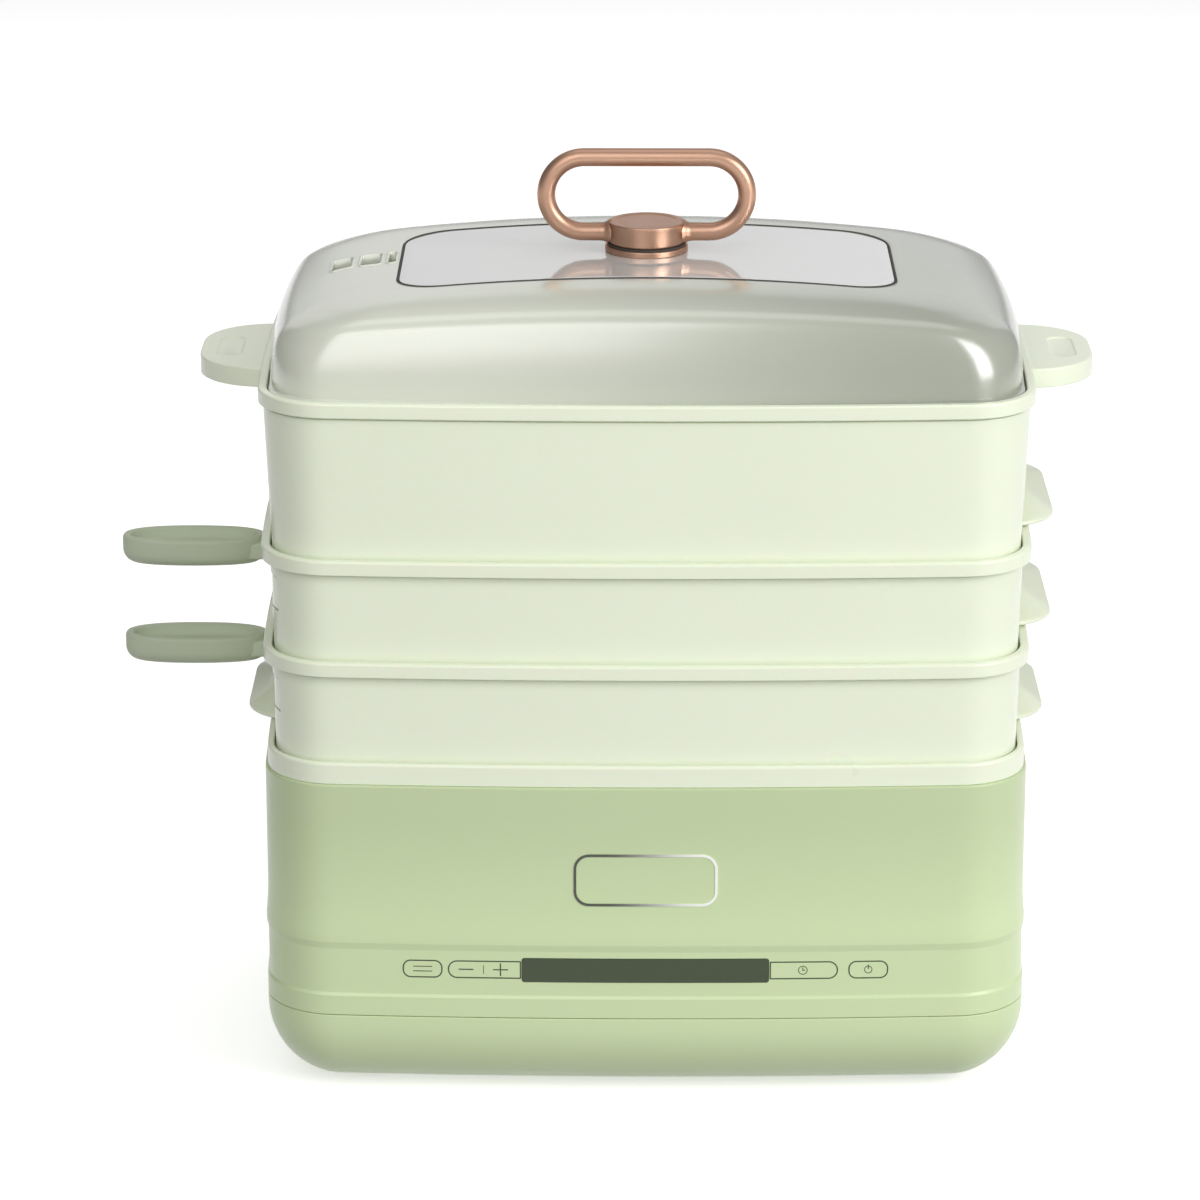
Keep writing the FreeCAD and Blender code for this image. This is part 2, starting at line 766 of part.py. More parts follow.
def add_shell_bosses(body):
    """Four screw bosses, each carried by a rib from the side wall."""
    bottom = S.parting_height + S.tongue_height + S.seat_gap
    bosses = new_sketch(body, "BossCircles", offset=bottom)
    ribs = new_sketch(body, "BossRibs", offset=bottom + S.tongue_wall)
    bores = new_sketch(body, "BossBores", offset=bottom)
    wall_x = HALF_WIDTH - S.shell_wall + S.boss_rib / 2
    for side in (-1, 1):
        for end in (-1, 1):
            centre = (S.boss_x * side, S.boss_y * end)
            draw_circle(bosses, *centre, S.boss_radius)
            draw_circle(bores, *centre, S.screw_radius)
            inner, outer = S.boss_x * side, wall_x * side
            left, right = (outer, inner) if side < 0 else (inner, outer)
            draw_rectangle(
                ribs, left, right, centre[1] - S.boss_rib / 2, centre[1] + S.boss_rib / 2
            )
    pad(body, bosses, S.boss_height, "Bosses")
    pad(body, ribs, S.boss_height - S.tongue_wall, "BossRibsPad")
    pocket(body, bores, S.boss_height - S.boss_rib, "BossHoles", up=True)


def add_control_posts(body):
    """Posts on the inside of the front wall that carry the control board."""
    start = HALF_DEPTH - S.shell_wall
    posts = new_sketch(body, "ControlPosts", "XZ_Plane", start)
    bores = new_sketch(body, "ControlPostBores", "XZ_Plane", S.control_board_y)
    for side in (-1, 1):
        draw_circle(posts, S.control_post_x * side, BAND_MIDDLE, S.post_radius)
        draw_circle(bores, S.control_post_x * side, BAND_MIDDLE, S.screw_radius)
    pad(body, posts, start - S.control_board_y, "ControlPostPads", down=True)
    pocket(body, bores, start - S.control_board_y, "ControlPostHoles", up=True)


def cut_display_window(body):
    """The opening in the front wall that the display module sits in."""
    gap = S.side_gap
    cut = new_sketch(body, "DisplayWindow", "XZ_Plane", HALF_DEPTH + S.overrun)
    middle = S.lens_bottom + S.lens_height / 2
    draw_rectangle(
        cut,
        -S.display_half_width - gap,
        S.display_half_width + gap,
        middle - S.display_height / 2 - gap,
        middle + S.display_height / 2 + gap,
    )
    pocket(body, cut, S.shell_wall + S.overrun * 2, "DisplayOpening")


def cut_inlet_hole(body):
    """The opening in the rear wall for the appliance inlet."""
    cut = new_sketch(body, "InletHole", "XZ_Plane", -HALF_DEPTH - S.overrun)
    gap = S.side_gap / 2
    draw_rounded_rectangle(
        cut,
        -S.inlet_width / 2 - gap,
        S.inlet_width / 2 + gap,
        BAND_MIDDLE - S.inlet_height / 2 - gap,
        BAND_MIDDLE + S.inlet_height / 2 + gap,
        S.inlet_corner + gap,
    )
    pocket(body, cut, S.shell_wall + S.overrun * 2, "InletOpening", up=True)


def build_bottom_shell():
    """Lower housing: a tray with rounded sides, screw columns, posts, foot seats and vents."""
    body = new_body("bottom_shell")
    rounding_top = S.foot_height + S.bottom_rounding * ROUNDING_DOWN_SHARES[-1]
    outer = [outline(body, "OuterRim", S.parting_height, ZERO)]
    inner = []
    inside = S.bottom_rounding - S.shell_wall
    for turn in range(ROUNDING_TURNS + 1):
        share_in, share_down = ROUNDING_IN_SHARES[turn], ROUNDING_DOWN_SHARES[turn]
        outer.append(
            outline(body, f"Outer{turn}", rounding_top - S.bottom_rounding * share_down,
                    S.bottom_rounding * share_in)
        )
        inner.append(
            outline(body, f"Inner{turn}", rounding_top - inside * share_down,
                    S.shell_wall + inside * share_in)
        )
    loft(body, outer, "RoundedTray", ruled=False)
    tongue_outer = S.shell_wall + S.seat_gap
    tongue = outline(body, "TongueOutline", S.parting_height, tongue_outer)
    pad(body, tongue, S.tongue_height, "Tongue")
    tongue_top = S.parting_height + S.tongue_height
    mouth = outline(body, "MouthOutline", tongue_top, tongue_outer + S.tongue_wall)
    pocket(body, mouth, tongue_top - rounding_top, "Mouth")
    loft(body, inner, "Hollow", cut=True, ruled=False)

    floor = S.foot_height + S.shell_wall
    columns = new_sketch(body, "ScrewColumns", offset=S.foot_height + S.shell_wall / 2)
    heads = new_sketch(body, "ScrewHeads", offset=S.foot_height)
    bores = new_sketch(body, "ScrewBores", offset=S.foot_height)
    for side in (-1, 1):
        for end in (-1, 1):
            centre = (S.boss_x * side, S.boss_y * end)
            draw_circle(columns, *centre, S.boss_radius + S.tongue_wall / 2)
            draw_circle(heads, *centre, S.screw_head_radius + S.side_gap)
            draw_circle(bores, *centre, S.screw_radius + S.screw_bore_gap)
    pad(body, columns, tongue_top - S.foot_height - S.shell_wall / 2, "Columns")
    pocket(body, heads, S.screw_head_depth, "HeadWells", up=True)
    pocket(body, bores, tongue_top - S.foot_height, "ColumnBores", up=True)

    posts = new_sketch(body, "BoardPosts", offset=floor - S.shell_wall / 2)
    post_bores = new_sketch(body, "PostBores", offset=floor)
    for across, up in board_post_places():
        draw_circle(posts, across, up, S.post_radius)
        draw_circle(post_bores, across, up, S.screw_radius)
    pad(body, posts, S.power_board_rise + S.shell_wall / 2, "Posts")
    pocket(body, post_bores, S.power_board_rise, "PostHoles", up=True)

    seats = new_sketch(body, "FootSeats", offset=S.foot_height)
    for side in (-1, 1):
        for end in (-1, 1):
            draw_circle(seats, S.foot_x * side, S.foot_y * end, S.foot_radius + S.side_gap / 2)
    pocket(body, seats, S.foot_recess, "FootRecesses", up=True)

    vent = new_sketch(body, "VentSlot", offset=S.foot_height)
    first = S.vent_pitch * ((1 - VENT_SLOT_COUNT) / 2)
    draw_slot(vent, first, -S.power_board_y * 2, S.vent_slot_length, S.vent_slot_width)
    slot = pocket(body, vent, S.shell_wall + S.overrun, "Vent", up=True)
    repeat(body, slot, vent, "H_Axis", S.vent_pitch, VENT_SLOT_COUNT, "Vents")
    return body


def repeat(body, feature, sketch, axis, pitch, count, name):
    """Copies a feature in a row along a sketch axis."""
    row = body.newObject("PartDesign::LinearPattern", name)
    row.Originals = [feature]
    row.Direction = (sketch, [axis])
    row.Occurrences = count
    row.Length = (pitch * (count - 1)).value
    bind(row, "Length", pitch * (count - 1))
    body.Tip = row
    return row


def board_post_places():
    """Centres of the power board's four fixing posts."""
    half_width = S.power_board_width / 2 - S.post_inset
    half_depth = S.power_board_depth / 2 - S.post_inset
    return [
        (half_width * side, S.power_board_y + half_depth * end)
        for side in (-1, 1)
        for end in (-1, 1)
    ]


def build_feet():
    """Four soft pads, each held in a seat of the bottom shell."""
    names = {(-1, -1): "foot_front_left", (1, -1): "foot_front_right",
             (-1, 1): "foot_back_left", (1, 1): "foot_back_right"}
    for (side, end), label in names.items():
        body = new_body(label)
        circle = new_sketch(body, "Pad")
        draw_circle(circle, S.foot_x * side, S.foot_y * end, S.foot_radius)
        solid = pad(body, circle, S.foot_height + S.foot_recess, "PadSolid")
        edges = edges_where(solid, at_level(ZERO, S.seat_gap.value, (0, 0)))
        fillet(body, solid, edges, S.foot_edge, "PadEdge")


def draw_screw(body, name, role, across, up, head_level, shank, head_radius=None, shank_radius=None):
    """A screw that points along the plane's normal: a round head and its shank."""
    head = new_sketch(body, f"{name}Head", role, head_level)
    draw_circle(head, across, up, head_radius or S.screw_head_radius)
    pad(body, head, S.screw_head_height, f"{name}HeadPad")
    stem = new_sketch(body, f"{name}Shank", role, head_level + S.screw_head_height)
    draw_circle(stem, across, up, shank_radius or S.screw_radius - S.screw_bore_gap)
    pad(body, stem, shank, f"{name}ShankPad")


def group_of(label, build_one, places):
    """Identical small pieces as one node of separate solids."""
    bodies = []
    for index, place in enumerate(places, start=1):
        body = new_body(f"{label}_{index}")
        build_one(body, place)
        bodies.append(body)
    group = doc.addObject("Part::Compound", label)
    group.Label = label
    group.Links = bodies
    return group


def build_housing_screws():
    def one(body, centre):
        head = S.foot_height + S.screw_head_depth - S.screw_head_height
        draw_screw(body, "Screw", "XY_Plane", *centre, head, S.boss_height)
    places = [(S.boss_x * side, S.boss_y * end) for side in (-1, 1) for end in (-1, 1)]
    return group_of("housing_screws", one, places)


def build_collar():
    """Cream ring on the housing: the bottom tier nests in it, and its skirt centres it."""
    body = new_body("collar")
    ring = outline(body, "RingOutline", S.shell_top, S.collar_inset)
    solid = pad(body, ring, S.collar_height, "Ring")
    top_edges = edges_where(solid, at_level(COLLAR_TOP, S.seat_gap.value, (0, 0)))
    fillet(body, solid, top_edges, S.collar_edge, "RingEdge")
    skirt_inset = S.shell_wall + S.seat_gap
    skirt = outline(body, "SkirtOutline", S.shell_top, skirt_inset)
    pad(body, skirt, S.collar_skirt, "Skirt", down=True)
    nest = outline(body, "NestOutline", COLLAR_TOP, S.lip_inset)
    pocket(body, nest, S.nest_depth, "Nest")
    throat = outline(body, "ThroatOutline", COLLAR_TOP, S.collar_throat)
    pocket(body, throat, S.collar_height + S.collar_skirt, "Throat")
    under = outline(body, "UnderOutline", S.shell_top, skirt_inset + S.collar_skirt_wall)
    pocket(body, under, S.collar_skirt, "SkirtHollow")
    return body


def build_basin():
    """Deep-drawn steel water basin with a flange that hangs on the housing's ledge."""
    body = new_body("water_basin")
    flange = outline(body, "FlangeOutline", S.ledge_top, S.basin_flange_inset)
    pad(body, flange, S.basin_gauge, "Flange")
    bowl = outline(body, "BowlOutline", S.basin_floor, S.basin_inset)
    pad(body, bowl, S.ledge_top - S.basin_floor, "Bowl")
    top = S.ledge_top + S.basin_gauge
    inner = outline(body, "InnerOutline", top, S.basin_inset + S.basin_gauge)
    hollow = pocket(body, inner, top - S.basin_floor - S.basin_gauge, "Hollow")
    margin = S.seat_gap.value
    edges = edges_where(hollow, at_level(S.basin_floor + S.basin_gauge, margin, (0, 0)))
    inside = fillet(body, hollow, edges, S.basin_rounding - S.basin_gauge, "HollowRounding")
    edges = edges_where(inside, at_level(S.basin_floor, margin, (0, 0)))
    fillet(body, inside, edges, S.basin_rounding, "BowlRounding")
    return body


def build_basin_gasket():
    """Silicone ring squeezed between the basin's flange and the collar."""
    body = new_body("basin_gasket")
    bottom = S.ledge_top + S.basin_gauge
    outer = outline(body, "GasketOuter", bottom, S.gasket_inset)
    pad(body, outer, S.shell_top - bottom, "GasketPad")
    inner = outline(body, "GasketInner", S.shell_top, S.gasket_inset + S.gasket_width)
    pocket(body, inner, S.shell_top - bottom, "GasketHole")
    return body


# Heater and electrics


def build_heater():
    plate = new_body("heating_plate")
    disc = new_sketch(plate, "Disc", offset=S.basin_floor - S.heater_thickness)
    draw_circle(disc, ZERO, ZERO, S.heater_radius)
    pad(plate, disc, S.heater_thickness, "DiscPad")

    underside = S.basin_floor - S.heater_thickness
    level = underside - S.element_tube * ELEMENT_BED_SHARE
    bed = new_sketch(plate, "ElementBed", "XZ_Plane")
    draw_circle(bed, S.element_radius, level, S.element_tube)
    groove = plate.newObject("PartDesign::Groove", "ElementGroove")
    groove.Profile = bed
    groove.ReferenceAxis = (bed, ["V_Axis"])
    groove.Angle = FULL_TURN

    element = new_body("heating_element")
    section = new_sketch(element, "TubeSection", "XZ_Plane")
    draw_circle(section, S.element_radius, level, S.element_tube)
    ring = element.newObject("PartDesign::Revolution", "Ring")
    ring.Profile = section
    ring.ReferenceAxis = (section, ["V_Axis"])
    ring.Angle = ELEMENT_ANGLE
    pins = new_sketch(element, "Pins", offset=level - S.element_pin_length)
    for turn in (0.0, math.radians(ELEMENT_ANGLE)):
        draw_circle(
            pins,
            S.element_radius * math.cos(turn),
            S.element_radius * math.sin(turn),
            S.element_pin_radius,
        )
    pad(element, pins, S.element_pin_length, "PinPads")

    sensor = new_body("temperature_sensor")
    cup = new_sketch(sensor, "Cup", offset=underside - S.sensor_height)
    draw_circle(cup, ZERO, ZERO, S.sensor_radius)
    pad(sensor, cup, S.sensor_height, "CupPad")
    flange = new_sketch(sensor, "Flange", offset=underside - S.sensor_flange)
    draw_circle(flange, ZERO, ZERO, S.sensor_flange_radius)
    pad(sensor, flange, S.sensor_flange, "FlangePad")

    cutout = new_body("thermal_cutout")
    can = new_sketch(cutout, "Can", offset=underside - S.cutout_height)
    draw_circle(can, S.cutout_x, ZERO, S.cutout_radius)
    pad(cutout, can, S.cutout_height, "CanPad")
    tab = new_sketch(cutout, "Tab", offset=underside - S.cutout_tab)
    draw_slot(tab, S.cutout_x, ZERO, S.cutout_tab_length, S.cutout_radius)
    pad(cutout, tab, S.cutout_tab, "TabPad")


def build_power_board():
    level = S.foot_height + S.shell_wall + S.power_board_rise
    board = new_body("power_board")
    plan = new_sketch(board, "BoardPlan", offset=level)
    half_width, half_depth = S.power_board_width / 2, S.power_board_depth / 2
    draw_rectangle(plan, -half_width, half_width, S.power_board_y - half_depth,
                   S.power_board_y + half_depth)
    pad(board, plan, S.board_thickness, "BoardPad")
    holes = new_sketch(board, "BoardHoles", offset=level)
    for across, up in board_post_places():
        draw_circle(holes, across, up, S.screw_radius + S.screw_bore_gap)
    pocket(board, holes, S.board_thickness, "BoardBores", up=True)

    top = level + S.board_thickness
    left = -half_width + S.post_inset * 2
    front = S.power_board_y - half_depth + S.part_spacing / 2
    add_block("relay", top, left, front, S.relay_width, S.relay_depth, S.relay_height)
    next_left = left + S.relay_width + S.part_spacing
    add_block("transformer", top, next_left, front, S.transformer_size, S.transformer_size,
              S.transformer_height)
    capacitor = new_body("capacitor")
    can = new_sketch(capacitor, "Can", offset=top)
    centre = next_left + S.transformer_size + S.part_spacing + S.capacitor_radius
    draw_circle(can, centre, front + S.capacitor_radius, S.capacitor_radius)
    pad(capacitor, can, S.capacitor_height, "CanPad")
    back = S.power_board_y + half_depth - S.terminal_depth - S.part_spacing / 4
    add_block("terminal_block", top, -S.terminal_width / 2, back, S.terminal_width,
              S.terminal_depth, S.terminal_height)

    def one(body, centre):
        head = top + S.screw_head_height
        stem = new_sketch(body, "Head", offset=top)
        draw_circle(stem, *centre, S.screw_head_radius)
        pad(body, stem, head - top, "HeadPad")
        shank = new_sketch(body, "Shank", offset=top)
        draw_circle(shank, *centre, S.screw_radius - S.screw_bore_gap)
        pad(body, shank, S.power_board_rise - S.shell_wall / 2, "ShankPad", down=True)
    group_of("board_screws", one, board_post_places())


def add_block(label, level, left, front, width, depth, height):
    """A rectangular electrical part that stands on the power board."""
    body = new_body(label)
    plan = new_sketch(body, "Plan", offset=level)
    draw_rectangle(plan, left, left + width, front, front + depth)
    pad(body, plan, height, "Block")
    return body


def build_controls():
    """Control film, display lens and module, board, touch springs and board screws."""
    film = new_body("control_film")
    strip = new_sketch(film, "FilmPlan", offset=S.film_bottom)
    bed = S.band_recess - S.film_bed_gap
    draw_bow_band(strip, S.film_half_width, bed - S.film_thickness, bed)
    pad(film, strip, S.film_height, "FilmPad")
    opening = new_sketch(film, "FilmWindow", "XZ_Plane", HALF_DEPTH + S.overrun)
    gap = S.lens_gap
    draw_rectangle(opening, -S.lens_half_width - gap, S.lens_half_width + gap,
                   S.lens_bottom - gap, S.lens_bottom + S.lens_height + gap)
    pocket(film, opening, S.shell_wall + S.overrun * 2, "FilmOpening")

    lens = new_body("display_lens")
    plan = new_sketch(lens, "LensPlan", offset=S.lens_bottom)
    draw_bow_band(plan, S.lens_half_width, bed - S.lens_thickness, bed)
    pad(lens, plan, S.lens_height, "LensPad")

    middle = S.lens_bottom + S.lens_height / 2
    half = S.display_height / 2
    module = new_body("display_module")
    face = new_sketch(module, "ModuleFace", "XZ_Plane", S.control_board_y)
    draw_rectangle(face, -S.display_half_width, S.display_half_width, middle - half, middle + half)
    pad(module, face, S.display_depth, "ModulePad")

    board = new_body("control_board")
    plate = new_sketch(board, "BoardFace", "XZ_Plane", S.control_board_y)
    tall = S.control_board_height / 2
    draw_rectangle(plate, -S.control_board_half_width, S.control_board_half_width,
                   BAND_MIDDLE - tall, BAND_MIDDLE + tall)
    pad(board, plate, S.board_thickness, "BoardPad", down=True)
    holes = new_sketch(board, "BoardHoles", "XZ_Plane", S.control_board_y)
    for side in (-1, 1):
        draw_circle(holes, S.control_post_x * side, BAND_MIDDLE, S.screw_radius + S.screw_bore_gap)
    pocket(board, holes, S.board_thickness, "BoardBores")

    def one_spring(body, centre):
        ring = new_sketch(body, "Coil", "XZ_Plane", S.control_board_y)
        draw_circle(ring, centre, middle, S.spring_radius)
        draw_circle(ring, centre, middle, S.spring_radius - S.spring_wire)
        pad(body, ring, S.display_depth - S.spring_wire * 3, "CoilPad")
    places = [
        (S.spring_first_x + S.spring_pitch * index) * side
        for side in (-1, 1)
        for index in range(TOUCH_SPRINGS_PER_SIDE)
    ]
    group_of("touch_springs", one_spring, places)

    def one_screw(body, side):
        back = S.control_board_y - S.board_thickness
        head = new_sketch(body, "Head", "XZ_Plane", back - S.screw_head_height)
        draw_circle(head, S.control_post_x * side, BAND_MIDDLE, S.screw_head_radius)
        pad(body, head, S.screw_head_height, "HeadPad")
        stem = new_sketch(body, "Shank", "XZ_Plane", back)
        draw_circle(stem, S.control_post_x * side, BAND_MIDDLE, S.screw_radius - S.screw_bore_gap)
        pad(body, stem, S.board_thickness + S.shell_wall, "ShankPad")
    group_of("control_board_screws", one_screw, (-1, 1))


def build_inlet():
    """Appliance inlet in the rear band, with its three pins."""
    seat = HALF_DEPTH - S.band_recess
    shell = new_body("power_inlet")
    flange = new_sketch(shell, "Flange", "XZ_Plane", -seat)
    draw_rounded_rectangle(
        flange, -S.inlet_flange_width / 2, S.inlet_flange_width / 2,
        BAND_MIDDLE - S.inlet_flange_height / 2, BAND_MIDDLE + S.inlet_flange_height / 2,
        S.inlet_corner,
    )
    pad(shell, flange, S.inlet_flange, "FlangePad", down=True)
    block = new_sketch(shell, "Block", "XZ_Plane", -seat)
    draw_rounded_rectangle(
        block, -S.inlet_width / 2, S.inlet_width / 2,
        BAND_MIDDLE - S.inlet_height / 2, BAND_MIDDLE + S.inlet_height / 2, S.inlet_corner,
    )
    pad(shell, block, S.inlet_depth, "BlockPad")
    mouth_plane = -seat - S.inlet_flange
    mouth = new_sketch(shell, "Mouth", "XZ_Plane", mouth_plane)
    wall = S.inlet_wall
    draw_rounded_rectangle(
        mouth, -S.inlet_width / 2 + wall, S.inlet_width / 2 - wall,
        BAND_MIDDLE - S.inlet_height / 2 + wall, BAND_MIDDLE + S.inlet_height / 2 - wall,
        S.inlet_corner - wall / 2,
    )
    pocket(shell, mouth, S.inlet_depth + S.inlet_flange - wall, "MouthPocket", up=True)

    bottom = -seat + S.inlet_depth - wall

    def one(body, place):
        across, up = place
        face = new_sketch(body, "Pin", "XZ_Plane", bottom)
        draw_rectangle(
            face, across - S.inlet_pin_width / 2, across + S.inlet_pin_width / 2,
            up - S.inlet_pin_height / 2, up + S.inlet_pin_height / 2,
        )
        pad(body, face, S.inlet_pin_length, "PinPad", down=True)
    places = [
        (-S.inlet_pin_pitch, BAND_MIDDLE - S.inlet_earth_rise / 2),
        (ZERO, BAND_MIDDLE + S.inlet_earth_rise / 2),
        (S.inlet_pin_pitch, BAND_MIDDLE - S.inlet_earth_rise / 2),
    ]
    group_of("inlet_pins", one, places)


# Tiers


def build_tier(label, rim_top, rise, wall_inset, grip_sides, grip, pan_slot, ears):
    """One steaming tier: drafted walls, a nesting rim, grips and what its drawer needs."""
    body = new_body(label)
    below = rim_top - rise
    foot = below - S.nest_depth + S.seat_gap
    rim_bottom = rim_top - S.rim_height
    loft(body, [outline(body, "WallFoot", foot, FOOT_INSET),
                outline(body, "WallHead", rim_bottom, wall_inset)], "Walls")
    rim = outline(body, "RimOutline", rim_bottom, S.rim_inset)
    solid = pad(body, rim, S.rim_height, "Rim")
    levels = (rim_top, rim_bottom)
    reach = ring_reach(S.rim_inset + S.rim_inset)
    edges = [
        name
        for level in levels
        for name in edges_where(solid, at_level(level, S.seat_gap.value / 2, reach))
        if outer_edge(solid, name, S.rim_inset)
    ]
    fillet(body, solid, edges, S.rim_edge, "RimEdges")
    for side in grip_sides:
        add_grip(body, side, below, *grip)
    if ears:
        for side in (-1, 1):
            add_ear(body, side, rim_top)

    throat_bottom = rim_top - S.nest_depth - S.ledge_thickness
    hollow_foot = foot
    if ears:
        hollow_foot = foot + S.grate_seat_height
        seat = outline(body, "GrateHole", hollow_foot, S.grate_seat_inset)
        pocket(body, seat, S.grate_seat_height, "GrateHolePocket")
        under = outline(body, "UnderSeat", hollow_foot - S.grate_seat_thickness,
                        FOOT_INSET + S.tier_wall)
        pocket(body, under, S.grate_seat_height - S.grate_seat_thickness, "UnderSeatPocket")
    loft(body, [outline(body, "HollowFoot", hollow_foot, FOOT_INSET + S.tier_wall),
                outline(body, "HollowHead", throat_bottom, wall_inset + S.tier_wall)],
         "Hollow", cut=True)
    throat = outline(body, "ThroatOutline", rim_top, S.throat_inset)
    pocket(body, throat, S.nest_depth + S.ledge_thickness, "Throat")
    nest = outline(body, "NestOutline", rim_top, S.lip_inset)
    pocket(body, nest, S.nest_depth, "Nest")
    if pan_slot:
        add_pan_slot(body, rim_top)
    return body


def add_grip(body, side, below, reach, half_length):
    """A low finger grip at the foot of one side wall, hollow from beneath."""
    name = "Right" if side > 0 else "Left"
    bottom = below + S.grip_gap
    root = HALF_WIDTH - S.throat_inset * 2
    lip = new_sketch(body, f"{name}GripLip", offset=bottom)
    draw_tab(lip, side, root, reach, half_length, S.grip_corner)
    pad(body, lip, S.grip_lip, f"{name}GripLipPad")
    low = new_sketch(body, f"{name}GripLow", offset=bottom + S.grip_lip)
    draw_tab(low, side, root, reach, half_length, S.grip_corner)
    high = new_sketch(body, f"{name}GripHigh", offset=bottom + S.grip_height)
    draw_tab(high, side, root, S.grip_top_reach, S.grip_top_half_length, S.grip_top_corner)
    loft(body, [low, high], f"{name}GripHood")
    skin = S.grip_skin
    inner_root = HALF_WIDTH - S.low_wall_inset + S.side_gap
    mouth = new_sketch(body, f"{name}GripMouth", offset=bottom)
    draw_tab(mouth, side, inner_root, reach - S.grip_hollow_trim,
             half_length - S.grip_hollow_trim * 4, S.grip_hollow_corner)
    roof = new_sketch(body, f"{name}GripRoof", offset=bottom + S.grip_height - skin)
    draw_tab(roof, side, inner_root, S.grip_top_reach, S.grip_top_half_length - skin * 2,
             skin / 2)
    loft(body, [mouth, roof], f"{name}GripHollow", cut=True)


def add_ear(body, side, rim_top):
    """A flat ear at the rim, hollow from beneath, with a shallow dimple for the thumb."""
    name = "Right" if side > 0 else "Left"
    top = rim_top - S.ear_drop
    bottom = top - S.ear_thickness
    root = HALF_WIDTH - S.throat_inset - S.tier_wall
    plan = new_sketch(body, f"{name}EarPlan", offset=bottom)
    draw_tab(plan, side, root, S.ear_reach, S.ear_half_length, S.ear_corner)
    solid = pad(body, plan, S.ear_thickness, f"{name}Ear")
    rim_x = HALF_WIDTH.value - S.rim_inset.value
    picks = edges_where(
        solid,
        lambda edge: flat_at(edge, top) and edge.CenterOfMass.x * side > rim_x,
    )
    fillet(body, solid, picks, S.ear_edge, f"{name}EarEdge")
    hollow = new_sketch(body, f"{name}EarHollow", offset=bottom)
    draw_tab(hollow, side, HALF_WIDTH + S.ear_skin / 2, S.ear_reach - S.ear_skin,
             S.ear_half_length - S.ear_skin * 2, S.ear_corner - S.ear_skin * 3)
    pocket(body, hollow, S.ear_thickness - S.ear_skin, f"{name}EarPocket", up=True)
    dimple = new_sketch(body, f"{name}EarDimple", offset=top)
    draw_slot(dimple, S.ear_dimple_x * side, ZERO, S.ear_dimple_length, S.ear_dimple_width)
    pocket(body, dimple, S.ear_dimple_depth, f"{name}EarDimplePocket")


def flat_at(edge, level):
    box = edge.BoundBox
    margin = S.seat_gap.value / 2
    return abs(box.ZMin - level.value) < margin and abs(box.ZMax - level.value) < margin


def add_pan_slot(body, rim_top):
    """The slot in the left wall that the drawer slides through, and the two rails it runs on."""
    depth = S.throat_inset + S.tier_wall * 2
    cut = new_sketch(body, "PanSlot", "YZ_Plane", depth - HALF_WIDTH)
    high = rim_top - S.slot_drop
    draw_rectangle(cut, -SLOT_HALF_LENGTH, SLOT_HALF_LENGTH, high - S.slot_height, high)
    pocket(body, cut, depth + S.overrun, "PanSlotPocket")
    rail_top = rim_top - S.flange_drop - S.tray_gauge - S.seat_gap
    for side in (-1, 1):
        name = "Back" if side > 0 else "Front"
        plan = new_sketch(body, f"{name}RailPlan", offset=rail_top - S.rail_thickness)
        draw_bow_strip(plan, side, -S.rail_reach, S.rail_reach, RAIL_INNER_Y,
                       FOOT_INSET + S.tier_wall / 2)
        pad(body, plan, S.rail_thickness, f"{name}Rail")


def build_grate():
    """Perforated plate that lies on the seat at the foot of the top tier."""
    body = new_body("grate")
    level = RIM_2 - S.nest_depth + S.seat_gap + S.grate_seat_height + S.seat_gap
    inset = S.throat_inset + S.side_gap
    plate = outline(body, "PlateOutline", level, inset)
    pad(body, plate, S.grate_thickness + S.grate_rim, "Plate")
    top = level + S.grate_thickness + S.grate_rim
    dish = outline(body, "DishOutline", top, inset + S.grate_rim_width)
    pocket(body, dish, S.grate_rim, "Dish")
    slot = new_sketch(body, "Slot", offset=level + S.grate_thickness)
    first_x = S.grate_slot_pitch_x * ((1 - PERFORATION_COLUMNS) / 2)
    first_y = S.grate_slot_pitch_y * ((1 - PERFORATION_ROWS) / 2)
    draw_slot(slot, first_x, first_y, S.grate_slot_length, S.grate_slot_width)
    cut = pocket(body, slot, S.grate_thickness, "SlotPocket")
    grid = body.newObject("PartDesign::MultiTransform", "SlotGrid")
    grid.Originals = [cut]
    steps = []
    for axis, pitch, count in (("H_Axis", S.grate_slot_pitch_x, PERFORATION_COLUMNS),
                               ("V_Axis", S.grate_slot_pitch_y, PERFORATION_ROWS)):
        step = body.newObject("PartDesign::LinearPattern", f"SlotRow{axis[0]}")
        step.Direction = (slot, [axis])
        step.Occurrences = count
        step.Length = (pitch * (count - 1)).value
        bind(step, "Length", pitch * (count - 1))
        steps.append(step)
    grid.Transformations = steps
    body.Tip = grid
    return body


# Drawer pans


def build_pan(name, rim_top):
    """One drawer: steel tray, shutter, handle, the bracket that joins them and its screws."""
    build_tray(f"{name}_tray", rim_top)
    build_shutter(f"{name}_shutter", rim_top)
    build_bracket(f"{name}_bracket", rim_top)
    build_handle(f"{name}_handle", rim_top)

    def one(body, across):
        bottom = rim_top - S.handle_drop - S.handle_thickness
        head = new_sketch(body, "Head", offset=bottom + S.handle_edge / 2)
        draw_circle(head, -across, ZERO, S.screw_head_radius)
        pad(body, head, S.screw_head_height, "HeadPad")
        stem_low = bottom + S.handle_edge / 2 + S.screw_head_height
        stem = new_sketch(body, "Shank", offset=stem_low)
        draw_circle(stem, -across, ZERO, S.screw_radius - S.screw_bore_gap)
        length = rim_top - S.bracket_drop + S.bracket_gauge - stem_low
        pad(body, stem, length, "ShankPad")
    group_of(f"{name}_screws", one, pan_screw_places())


def pan_screw_places():
    return [S.pan_screw_first_x + S.pan_screw_pitch * index for index in range(PAN_SCREW_COUNT)]


